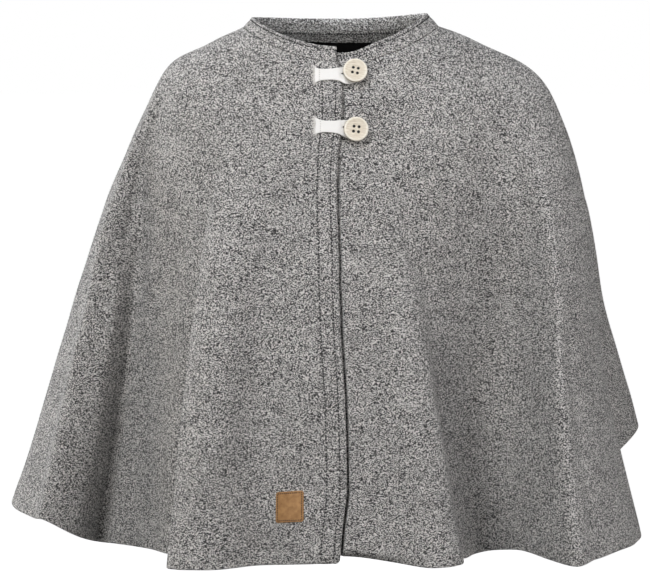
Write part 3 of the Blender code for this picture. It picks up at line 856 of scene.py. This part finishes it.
def makeRightFront():
    level = gathered(panelCut["meshLength"], panelCut["step"])
    lines = np.concatenate([panelCut["nearEdge"][:-1], np.arange(*panelCut["placketLines"])])[::-1]
    placket = azimuthsAtX(lapAt("edgeX", level)[:, None] - lines, level)
    seam = besideSeam(capeForm["seams"][0], 1, level)
    rest = columnsFrom(seam, placket[:, 0], level, panelCut["nearEdge"], (0.0,), panelCut["step"])
    azimuth = np.concatenate([rest[:, :-1], placket], axis=1)
    distance = np.full(azimuth.shape, np.inf)
    distance[:, -len(lines):] = lines
    radius = panelCut["cornerRadius"]
    rise = radius - np.sqrt(np.maximum(radius**2 - np.clip(radius - distance, 0, radius) ** 2, 0))
    grid = level[:, None] * (1 - rise / panelCut["ribLength"])
    facing = 1 - blend(*panelCut["facingFade"], distance - panelCut["facingWidth"])
    thick = panelCut["wool"] + (panelCut["facingThick"] - panelCut["wool"]) * facing
    relief = placketRelief(distance, grid * panelCut["ribLength"])
    return makePanel("rightFront", "right_front", azimuth, grid, thick, ("top", "first"), relief)


def makeLeftFront():
    level = gathered(panelCut["meshLength"], panelCut["step"])
    near, step = panelCut["nearEdge"], panelCut["step"]
    edge = azimuthsAtX(np.full((len(level), 1), -capeForm["underlap"]), level)[:, 0]
    edgeX = lapAt("edgeX", level)[:, None]
    slot = azimuthsAtX(edgeX + np.array(panelCut["slotLines"]), level)
    under = columnsFrom(edge, slot[:, 0], level, near, (0.0,), step)
    beside = columnsFrom(slot[:, -1], besideSeam(capeForm["seams"][1], -1, level), level, (0.0,), near, step)
    azimuth = np.concatenate([under[:, :-1], slot, beside[:, 1:]], axis=1)
    grid = np.repeat(level[:, None], azimuth.shape[1], axis=1)
    beyond = capeAt(azimuth.ravel(), grid.ravel())[:, 0].reshape(azimuth.shape) - edgeX
    spans = sum(blend(*start, grid) * (1 - blend(*end, grid)) for start, end in panelCut["slotSpans"])
    shift = underlapShift(azimuth, grid)
    shift[..., 1] *= 1 - panelCut["slotRise"] * blend(*panelCut["slot"], beyond) * spans
    return makePanel("leftFront", "left_front", azimuth, grid, panelCut["wool"], ("top", "last"), shift=shift)


def makeBack():
    level = gathered(panelCut["meshLength"], panelCut["backStep"])
    right, left = capeForm["seams"]
    ends = besideSeam(left, 1, level), besideSeam(right, -1, level) + 360
    azimuth = columnsFrom(*ends, level, panelCut["nearEdge"], panelCut["nearEdge"], panelCut["backStep"])
    sewn = ("top", "first", "last")
    return makePanel("backPanel", "back", azimuth, level[:, None], panelCut["wool"], sewn)


bandCut = {
    "wool": 3.0,
    "endX": -5.0,
    "step": 2.0,
    "depth": 18.0,
    "lines": (
        (0, 0.15, 0.5, 1.0, 1.6, 2.4, 3.2, 3.8, 4.4, 5.0, 5.6)
        + (6.4, 7.6, 9.2, 11.2, 13.2, 15.2, 16.6, 17.4, 17.85, 18)
    ),
    "thinTop": (0.9, 6.0),  # how much thinner the folded top edge is, and over what depth
    "stitchDown": 4.4,
    "swells": [(4.4, 1.1, -0.8), (2.0, 1.6, 0.5), (11.0, 4.5, 0.4)],  # sunk at its sewing
    "stitch": (0.9, 1.0),  # length and thickness, as shares of the placket's
}


def bandFace(azimuth, down):
    # the band's outer face, down in millimetres from its top edge, and its outward directions
    high, low = ringAt(capeForm["bandTop"], azimuth), ringAt(capeForm["rings"][0], azimuth)
    short = 1 - capeForm["seamGap"] / np.linalg.norm(low - high, axis=1)
    depth = down / bandCut["depth"]
    normal = normalsOf(bandAt, azimuth, np.clip(depth, 0, 1))
    raised = normal * swells(bandCut["swells"], down)[:, None]
    return bandAt(azimuth, depth * short) + raised + underlapShift(azimuth, 0.0), normal


def bandEnds():
    ends = np.array([[-capeForm["underlap"], bandCut["endX"]]])
    return azimuthsAtX(ends, np.zeros(1))[0] + np.array([0, 360])


def makeNeckBand():
    start, end = bandEnds()
    length = stepsOf(ringAt(capeForm["rings"][0], np.linspace(start, end, panelCut["samples"][0]))).sum()
    azimuth, down = np.meshgrid(start + (end - start) * gathered(length, bandCut["step"]), bandCut["lines"])
    thinner, depth = bandCut["thinTop"]
    thick = bandCut["wool"] + swells(bandCut["swells"], down) - thinner * (1 - blend(0, depth, down))
    return makeWoolShell("neckBand", "neck_band", *overGrid(bandFace, azimuth, down), thick, ("bottom",))


rightFront = makeRightFront()
leftFront = makeLeftFront()
backPanel = makeBack()
neckBand = makeNeckBand()

# Modelling with Blender's tools


def startEdit(piece):
    # edit mode, with the whole mesh of one piece selected
    bpy.ops.object.select_all(action="DESELECT")
    bpy.context.view_layer.objects.active = piece
    piece.select_set(True)
    bpy.ops.object.mode_set(mode="EDIT")
    bpy.ops.mesh.select_all(action="SELECT")


def shapeBy(piece, kind, **settings):
    # a modifier, applied at once
    bpy.context.view_layer.objects.active = piece
    modifier = piece.modifiers.new(kind.lower(), kind)
    for key, value in settings.items():
        setattr(modifier, key, value)
    bpy.ops.object.modifier_apply(modifier=modifier.name)


def addCylinder(radius, length, sides, place):
    bpy.ops.object.select_all(action="DESELECT")
    bpy.ops.mesh.primitive_cylinder_add(vertices=sides, radius=radius * mm, depth=length * mm, location=place)
    return bpy.context.object


def keepPlace(piece):
    # its place goes into its mesh
    piece.data.transform(piece.matrix_world)
    piece.matrix_world = Matrix()


def joinAll(pieces):
    bpy.ops.object.select_all(action="DESELECT")
    for piece in pieces:
        piece.select_set(True)
    bpy.context.view_layer.objects.active = pieces[-1]
    bpy.ops.object.join()
    return bpy.context.object


# What is sewn on: the tabs, the patch and the label


def frontFace(azimuth, level):
    # the right front's outer face, with the relief of its sewn edge, and its outward directions
    points, normal = clothFace(azimuth, level)
    distance = lapAt("edgeX", level) - capeAt(azimuth, level)[:, 0]
    return points + normal * placketRelief(distance, level * panelCut["ribLength"])[:, None], normal


fastenings = {  # button's x, distance below the neck seam and turn, and its tab's drop and slope
    "Upper": {"x": 14.5, "drop": 11.2, "turn": -10.5, "tabDrop": 0.0, "tabSlope": -0.14},
    "Lower": {"x": 15.4, "drop": 72.4, "turn": -6.5, "tabDrop": -3.2, "tabSlope": -0.02},
}

tabCut = {
    "thick": 1.6,
    "gap": 0.3,
    "stepDown": (1.2, 9.5),  # where it steps down past the front's edge
    "stations": [  # along from the button's middle, reach above and below the slit's line, half the slit
        (-41.5, 8.4, 8.8, 0),
        (-39, 7.4, 7.7, 0),
        (-36, 6.5, 6.6, 0),
        (-28, 6.1, 6.1, 0),
        (-21, 6.4, 6.6, 0),
        (-15, 7.2, 8.8, 0),
        (-12, 7.4, 10.6, 1.4),
        (-9, 7.4, 12.2, 2.8),
        (-5, 7.2, 13.0, 3.6),
        (-1, 6.8, 12.8, 3.9),
        (3, 6.4, 12.0, 3.2),
        (6, 5.4, 10.2, 0),
        (9, 3.8, 7.4, 0),
        (11.2, 1.5, 3.4, 0),
    ],
    "step": 0.9,
    "strips": 7,  # across each side of the slit
    "ragged": 0.8,
    "merge": 0.02,
    "stitchAlong": -36.5,
    "stitchIn": 0.8,
    "stitch": (0.6, 0.7),
    "seed": 21,
}


def tabFace(fastening, along, below, lift):
    # a tab's points, along it, below its slit's line and above its underside, and outward directions
    x = fastening["x"] + along
    drop = fastening["drop"] + fastening["tabDrop"] + fastening["tabSlope"] * along + below
    azimuth, level = placeOn(x, drop)
    points, normal = frontFace(azimuth, level)
    points = points + normal * (tabCut["gap"] + lift)[:, None]
    beyond = x - lapAt("edgeX", level)
    points[:, 1] += underlapShift(azimuth, level)[:, 1] * blend(*tabCut["stepDown"], beyond)
    return points, normal


def tabOutline(along):
    table = np.array(tabCut["stations"])
    return np.maximum(tableAt(table[:, 0], table[:, 1:], along), 0).T


def makeTab(which):
    dice = np.random.default_rng(tabCut["seed"] + list(fastenings).index(which))
    first, last = tabCut["stations"][0][0], tabCut["stations"][-1][0]
    along = np.linspace(last, first, int((last - first) / tabCut["step"]))
    above, under, slit = tabOutline(along)
    share = np.linspace(0, 1, tabCut["strips"] + 1)
    upper = -(slit[:, None] + (above - slit)[:, None] * share[::-1])
    lower = slit[:, None] + (under - slit)[:, None] * share
    below = np.concatenate([upper, lower], axis=1)
    reach = np.repeat(along[:, None], below.shape[1], axis=1)
    reach[-1] += dice.uniform(-1, 1, below.shape[1]) * tabCut["ragged"]
    points, _ = tabFace(fastenings[which], reach.ravel(), below.ravel(), np.zeros(below.size))
    slitted = np.delete(gridFaces(*below.shape)[1], tabCut["strips"], axis=1)  # no faces across the slit
    faces = slitted.reshape(-1, 4).tolist()
    piece = newPiece("tabLoop" + which, points, faces, cottonTape, "tab_loop_" + which.lower())
    giveMap(piece, "clothMap", np.stack([reach.ravel(), below.ravel()], axis=-1))
    startEdit(piece)
    bpy.ops.mesh.remove_doubles(threshold=tabCut["merge"] * mm)
    bpy.ops.object.mode_set(mode="OBJECT")
    shapeBy(piece, "SOLIDIFY", thickness=tabCut["thick"] * mm, offset=1)
    shapeBy(piece, "SUBSURF", levels=1, render_levels=1)
    return piece


patchCut = {
    "size": (28.0, 32.0),
    "middle": (14.0, 16.0),  # from the left and top edge, where its own x and y start
    "thick": 1.3,
    "gap": 0.3,
    "place": (-52.2, 60.5),  # x, and height above the hem along the cloth
    "corner": 2.6,
    "crown": (0.35, 8.0),  # height, and the width over which it comes up
    "stitchIn": 1.9,
    "stitchSink": (0.7, 0.22),  # half width and depth
    "stitch": (0.62, 0.7),
    "edge": (0, 0.12, 0.35),  # distances of the first lines of mesh
    "lines": (0.7, 0.6, 0.5),  # the first and last of the others from the edges, and their step
}

labelCut = {
    "size": (84.0, 32.0),
    "middle": (42.0, 0.0),
    "thick": 0.8,
    "gap": 0.6,
    "drop": 16.5,
    "corner": 0,
    "stitchIn": 1.6,
    "stitch": (0.75, 0.6),
    "edge": (0, 0.1, 0.3),
    "lines": (1.0, 0.9, 1.0),
}


def roundCorners(x, y, width, height, radius):
    # a grid's corner squares, turned into quarter discs
    insideX, insideY = width / 2 - radius, height / 2 - radius
    a, b = (np.abs(x) - insideX) / radius, (np.abs(y) - insideY) / radius
    corner = (a > 0) & (b > 0)
    newX = np.where(corner, np.sign(x) * (insideX + radius * a * np.sqrt(np.maximum(1 - b**2 / 2, 0))), x)
    newY = np.where(corner, np.sign(y) * (insideY + radius * b * np.sqrt(np.maximum(1 - a**2 / 2, 0))), y)
    return newX, newY


def patchFace(x, y):
    # the patch's outer face by place from its middle, y down, and its outward directions
    width, height = patchCut["size"]
    points, normal = frontFace(*placeOn(patchCut["place"][0] + x, y - patchCut["place"][1]))
    inside = np.minimum(width / 2 - np.abs(x), height / 2 - np.abs(y))
    sink = swells([(patchCut["stitchIn"], *patchCut["stitchSink"])], inside)
    crown, over = patchCut["crown"]
    lift = patchCut["gap"] + patchCut["thick"] + crown * blend(0, over, inside) - sink
    return points + normal * lift[:, None], normal


def labelFace(x, drop):
    # the label's open face, inside the back of the neck, and the directions it looks to
    points, normal = clothFace(*placeOn(x, labelCut["drop"] + drop, middle=180))
    return points - normal * (panelCut["wool"] + labelCut["gap"] + labelCut["thick"]), -normal


def makeOblong(name, node, cut, face, material, slot, mapName):
    # a small sheet with a map in millimetres
    edge = np.array(cut["edge"])
    first, last, step = cut["lines"]
    across, along = (
        np.concatenate([edge, np.arange(first, length - last, step), length - edge[::-1]]) - middle
        for length, middle in zip(cut["size"], cut["middle"])
    )
    x, y = np.meshgrid(across, along)
    if cut["corner"]:
        x, y = roundCorners(x, y, *cut["size"], cut["corner"])
    piece = makeShell(name, node, *overGrid(face, x, y), cut["thick"], (), material, slot)
    flat = np.stack([x.ravel(), y.ravel()], axis=-1)
    giveMap(piece, mapName, np.concatenate([flat, flat]))
    return piece


tabUpper, tabLower = makeTab("Upper"), makeTab("Lower")
leatherPatch = makeOblong(
    "leatherPatch", "leather_patch", patchCut, patchFace, tanLeather, "patch_leather", "patchMap"
)
# a black label inside the back of the neck; its near-black colour is partly painted shade of the inside there
neckLabelAndShade = makeOblong("neckLabelAndShade", "neck_label", labelCut, labelFace, blackLabelAndShade, "label", "clothMap")
print("tabs, patch and label made")

# Buttons

buttonCut = {
    "diameter": 25.4,
    "thick": 4.2,
    "lift": 0.9,  # its back, above the right front's face
    "outline": [  # radius and height as shares, from the back's edge over the rim to the dish
        (0.90, 0.00),
        (0.97, 0.20),
        (1.00, 0.62),
        (0.96, 0.90),
        (0.88, 1.00),
        (0.74, 0.90),
        (0.56, 0.78),
        (0.40, 0.78),
    ],
    "sides": 64,
    "rings": 24,
    "holeRadius": 1.6,
    "holePitch": 5.2,
    "holeSides": 24,
    "holeSoft": 0.12,
    "sharpFrom": math.radians(50),
}

threadCut = {
    "radius": 1.5,
    "top": 2.5,
    "sides": 12,
    "shankRadius": 3.2,
    "shankSides": 24,
    "waist": 0.75,
    "soft": 0.6,
}


def modelPegs(radius, length, height, sides):
    # four upright pegs where a button's holes are
    pegs = []
    for turn in range(4):
        angle = math.pi / 4 + turn * math.pi / 2
        reach = buttonCut["holePitch"] / math.sqrt(2)
        place = Vector((math.cos(angle) * reach, math.sin(angle) * reach, height)) * mm
        pegs.append(addCylinder(radius, length, sides, place))
    joined = joinAll(pegs)
    keepPlace(joined)
    return joined


def modelButton():
    # one button, lying flat with its back at the origin: a disc drawn up ring by ring, then drilled
    outline = np.array(buttonCut["outline"]) * (buttonCut["diameter"] / 2 * mm, buttonCut["thick"] * mm)
    knots = np.arange(len(outline))
    outline = tableAt(knots, outline, np.linspace(0, knots[-1], buttonCut["rings"]))
    bpy.ops.object.select_all(action="DESELECT")
    bpy.ops.mesh.primitive_circle_add(vertices=buttonCut["sides"], radius=outline[0, 0], fill_type="NGON")
    button = bpy.context.object
    startEdit(button)
    for (wide, low), (narrow, high) in zip(outline, outline[1:]):
        bpy.ops.mesh.extrude_region_move(TRANSFORM_OT_translate={"value": (0, 0, high - low)})
        bpy.ops.transform.resize(value=(narrow / wide, narrow / wide, 1), center_override=(0, 0, 0))
    bpy.ops.mesh.select_all(action="SELECT")
    bpy.ops.mesh.normals_make_consistent(inside=False)
    bpy.ops.object.mode_set(mode="OBJECT")
    drill = modelPegs(buttonCut["holeRadius"], 4 * buttonCut["thick"], 0, buttonCut["holeSides"])
    shapeBy(button, "BOOLEAN", object=drill)
    bpy.data.objects.remove(drill)
    soft = {"width": buttonCut["holeSoft"] * mm, "segments": 2}
    shapeBy(button, "BEVEL", limit_method="ANGLE", angle_limit=buttonCut["sharpFrom"], **soft)
    shapeBy(button, "TRIANGULATE", min_vertices=5)  # the drilled face stays whole when it is turned
    return button


def modelButtonThread(deep):
    # thread that fills a button's holes and runs as a waisted shank down to the cloth
    length = threadCut["top"] + deep / 2
    pegs = modelPegs(threadCut["radius"], length, threadCut["top"] - length / 2, threadCut["sides"])
    place = (0, 0, -deep / 2 * mm)
    shank = addCylinder(threadCut["shankRadius"], deep, threadCut["shankSides"], place)
    startEdit(shank)
    bpy.ops.mesh.bisect(plane_co=place, plane_no=(0, 0, 1))
    bpy.ops.transform.resize(value=(threadCut["waist"], threadCut["waist"], 1), center_override=place)
    bpy.ops.object.mode_set(mode="OBJECT")
    keepPlace(shank)
    shapeBy(shank, "BEVEL", width=threadCut["soft"] * mm, segments=3)
    return joinAll([pegs, shank])


def buttonSeat(which):
    # where a button's back lies and how it is turned, and how far back the cloth under it lies
    fastening = fastenings[which]
    azimuth, level = placeOn(np.array([fastening["x"]]), np.array([fastening["drop"]]))
    outward = Vector(normalsOf(capeAt, azimuth, level)[0])
    seat = Vector(capeAt(azimuth, level)[0]) + outward * buttonCut["lift"]
    up = outward.cross(Vector((1, 0, 0))).normalized()
    axes = Matrix((up.cross(outward), up, outward)).transposed().to_4x4()
    turn = Matrix.Rotation(math.radians(fastening["turn"]), 4, "Z")
    return Matrix.Translation(seat * mm) @ axes @ turn, underlapShift(azimuth, level)[0, 1]


def settle(model, name, material, place, node=None):
    # a copy of a model with its own mesh, its place in the mesh
    piece = bpy.data.objects.new(name, model.data.copy())
    bpy.context.collection.objects.link(piece)
    piece.data.materials.clear()
    piece.data.materials.append(material)
    flat = np.array([vertex.co for vertex in piece.data.vertices])[:, :2] / mm
    while piece.data.uv_layers:
        piece.data.uv_layers.remove(piece.data.uv_layers[0])
    giveMap(piece, "faceMap", flat)
    piece.data.transform(place)
    piece.data.shade_smooth()
    piece.data.set_sharp_from_angle(angle=buttonCut["sharpFrom"])
    claim(piece, node)
    return piece


def makeButtons():
    button = modelButton()
    for which in fastenings:
        place, back = buttonSeat(which)
        piece = settle(button, "button" + which, turnedWood, place, "button_" + which.lower())
        thread = modelButtonThread(back + buttonCut["lift"])
        settle(thread, "buttonThread" + which, threads["blackThread"], place)
        bpy.data.objects.remove(thread)
        print(piece.name, "with", len(piece.data.polygons), "faces")
    bpy.data.objects.remove(button)


makeButtons()

# Sewing and frayed ends

sewing = {
    "segments": 6,
    "rings": 6,
    "pitch": 3.6,
    "length": 2.7,
    "thick": 1.7,
    "lift": 0.32,
    "dip": 0.4,  # how far a stitch's ends go down into the cloth
    "wander": 0.05,
    "ahead": 0.4,
    "firstLevel": 0.012,
    "hemRow": 5.5,  # height of the placket's closing row above the hem
    "hemFrom": 1.5,  # its distance from the edge
    "bandFrom": 1.0,  # degrees from the band's ends
    "seamInside": (40, 320, 0.008),  # azimuths and level of the band's seam, inside the neck
    "points": {"row": 260, "closing": 24, "band": 400, "seam": 300, "around": 81, "tab": 30},
    "seed": 5,
}


def modelStitch():
    # one stitch with its length along x, modelled once and copied along every row
    bpy.ops.object.select_all(action="DESELECT")
    bpy.ops.mesh.primitive_uv_sphere_add(segments=sewing["segments"], ring_count=sewing["rings"], radius=0.5)
    model = bpy.context.object
    startEdit(model)
    bpy.ops.transform.rotate(value=math.pi / 2, orient_axis="Y", center_override=(0, 0, 0))
    bpy.ops.object.mode_set(mode="OBJECT")
    verts = np.array([vertex.co for vertex in model.data.vertices])
    faces = [tuple(face.vertices) for face in model.data.polygons]
    bpy.data.objects.remove(model)
    return verts, faces


stitchVerts, stitchFaces = modelStitch()
sewingDice = np.random.default_rng(sewing["seed"])


def alongLine(line, at):
    # points of a line at some lengths along it
    lengths = np.concatenate([[0], np.cumsum(stepsOf(line[0]))])
    return [np.stack([np.interp(at, lengths, part[:, axis]) for axis in range(3)], axis=-1) for part in line]


def stitchPlaces(line, size):
    # middle, and directions along, across and out, of each stitch on a line of points and normals
    pitch = sewing["pitch"] * size
    total = stepsOf(line[0]).sum()
    count = max(int(total / pitch), 2)
    at = (np.arange(count) + 0.5) / count * total + sewingDice.normal(0, sewing["wander"] * pitch, count)
    middle, out = alongLine(line, at)
    out = unit(out)
    ahead = unit(alongLine(line, at + sewing["ahead"])[0] - alongLine(line, at - sewing["ahead"])[0])
    across = np.cross(out, ahead)
    ahead = ahead + across * sewingDice.normal(0, sewing["wander"], (count, 1))
    return middle, ahead, across, out


def makeStitches(name, lines, material, shares=(1.0, 1.0)):
    size, thick = shares[0], sewing["thick"] * shares[1]
    x, y, z = stitchVerts.T
    rise = sewing["lift"] + z * thick - sewing["dip"] * size * (2 * x) ** 2
    offsets = x * sewing["length"] * size, y * thick, rise
    verts = []
    for line in lines:
        middle, *axes = stitchPlaces(line, size)
        moved = [axis[:, None] * offset[None, :, None] for axis, offset in zip(axes, offsets)]
        verts.append(middle[:, None] + moved[0] + moved[1] + moved[2])
    verts = np.concatenate(verts).reshape(-1, 3)
    count = len(stitchVerts)
    starts = range(0, len(verts), count)
    faces = [tuple(corner + start for corner in face) for start in starts for face in stitchFaces]
    newPiece(name, verts, faces, material)
    print(name, "with", len(starts), "stitches")


def makePlacketSewing():
    rows = [row[0] for row in panelCut["stitchRows"]]
    last = 1 - sewing["hemRow"] / panelCut["ribLength"]
    levels = np.linspace(sewing["firstLevel"], last, sewing["points"]["row"])
    edgeX = lapAt("edgeX", levels)[:, None]
    lines = [frontFace(azimuthsAtX(edgeX - distance, levels)[:, 0], levels) for distance in rows]
    x = lapAt("edgeX", 1.0) - np.linspace(sewing["hemFrom"], rows[-1], sewing["points"]["closing"])
    lines.append(frontFace(*placeOn(x, np.full_like(x, -sewing["hemRow"]))))
    makeStitches("placketSewing", lines, threads["darkThread"])


def makeBandSewing():
    start, end = bandEnds()
    azimuth = np.linspace(start + sewing["bandFrom"], end - sewing["bandFrom"], sewing["points"]["band"])
    face = bandFace(azimuth, np.full_like(azimuth, bandCut["stitchDown"]))
    first, last, level = sewing["seamInside"]
    around = np.linspace(first, last, sewing["points"]["seam"])
    points, out = clothFace(around, np.full_like(around, level))
    lines = [face, (points - out * panelCut["wool"], -out)]
    makeStitches("bandSewing", lines, threads["darkThread"], bandCut["stitch"])


def aroundLine(cut, face):
    # a closed line inside the edge of an oblong sheet
    a, b = (length / 2 - cut["stitchIn"] for length in cut["size"])
    corners = np.array([(-a, -b), (a, -b), (a, b), (-a, b), (-a, -b)])
    corners = corners + np.array(cut["size"]) / 2 - cut["middle"]
    steps = np.linspace(0, 4, sewing["points"]["around"])
    return face(*(np.interp(steps, range(5), column) for column in corners.T))


def makeSmallSewing():
    for name, cut, face, material, slot in (
        ("patchSewing", patchCut, patchFace, threads["brownThread"], "patch_leather"),
        ("labelSewing", labelCut, labelFace, blackLabelAndShade, "label"),
    ):
        makeStitches(name, [aroundLine(cut, face)], material, cut["stitch"])
    for which, fastening in fastenings.items():
        above, under, _ = tabOutline(np.array([tabCut["stitchAlong"]]))
        inset, count = tabCut["stitchIn"], sewing["points"]["tab"]
        below = np.linspace(-above[0] + inset, under[0] - inset, count)
        along, lift = (np.full_like(below, tabCut[key]) for key in ("stitchAlong", "thick"))
        line = tabFace(fastening, along, below, lift)
        makeStitches("tabSewing" + which, [line], threads["whiteThread"], tabCut["stitch"])


makePlacketSewing()
makeBandSewing()
makeSmallSewing()

fray = {
    "threads": 120,
    "start": (0, 1.5),  # inside the tab's cut end
    "lift": (0.2, 0.8),
    "length": (1.6, 5.0),
    "radius": 0.42,
    "tip": 0.45,
    "splay": 0.6,
    "cornerSplay": 0.5,
    "curl": 0.35,
    "points": 5,
    "sides": 4,
    "seed": 31,
}


def tubesAlong(paths):
    # closed thin tubes along paths, an array of tubes by points by xyz
    count, points = paths.shape[:2]
    sides = fray["sides"]
    ahead = unit(np.gradient(paths, axis=1))
    side = unit(np.cross(ahead, np.array([0.31, 0.2, 0.93])))  # no thread runs that way
    other = np.cross(ahead, side)
    angle = (np.arange(sides) * 2 * math.pi / sides)[:, None]
    ring = side[:, :, None] * np.cos(angle) + other[:, :, None] * np.sin(angle)
    taper = np.linspace(1, fray["tip"], points)[None, :, None, None] * fray["radius"]
    verts = paths[:, :, None] + ring * taper
    index = np.arange(count * points * sides).reshape(count, points, sides)
    turned = np.roll(index, -1, axis=2)
    walls = np.stack([index[:, :-1], turned[:, :-1], turned[:, 1:], index[:, 1:]], axis=-1).reshape(-1, 4)
    ends = np.concatenate([index[:, 0, ::-1], index[:, -1]])
    return verts.reshape(-1, 3), walls.tolist() + ends.tolist()


def makeFray(which):
    # loose cotton ends that stick out of a tab's cut end and corners
    dice = np.random.default_rng(fray["seed"] + list(fastenings).index(which))
    tip, above, under, _ = tabCut["stations"][0]
    count = fray["threads"]
    below = dice.uniform(-above, under, count)
    along = tip + dice.uniform(*fray["start"], count)
    lift = dice.uniform(*fray["lift"], count) * tabCut["thick"]
    length = dice.uniform(*fray["length"], count)
    lean = dice.normal(0, fray["splay"], count) + fray["cornerSplay"] * (below / above) ** 3
    curl = dice.normal(0, fray["curl"], count)
    paths = []
    for share in np.linspace(0, 1, fray["points"]):
        angle, reach = lean + curl * share, length * share
        place = along - reach * np.cos(angle), below + reach * np.sin(angle)
        paths.append(tabFace(fastenings[which], *place, lift * (1 - share / 2))[0])
    verts, faces = tubesAlong(np.stack(paths, axis=1))
    return newPiece("tabFray" + which, verts, faces, threads["whiteThread"])


frayUpper, frayLower = makeFray("Upper"), makeFray("Lower")
print("sewing and frayed ends made")

bpy.context.view_layer.update()
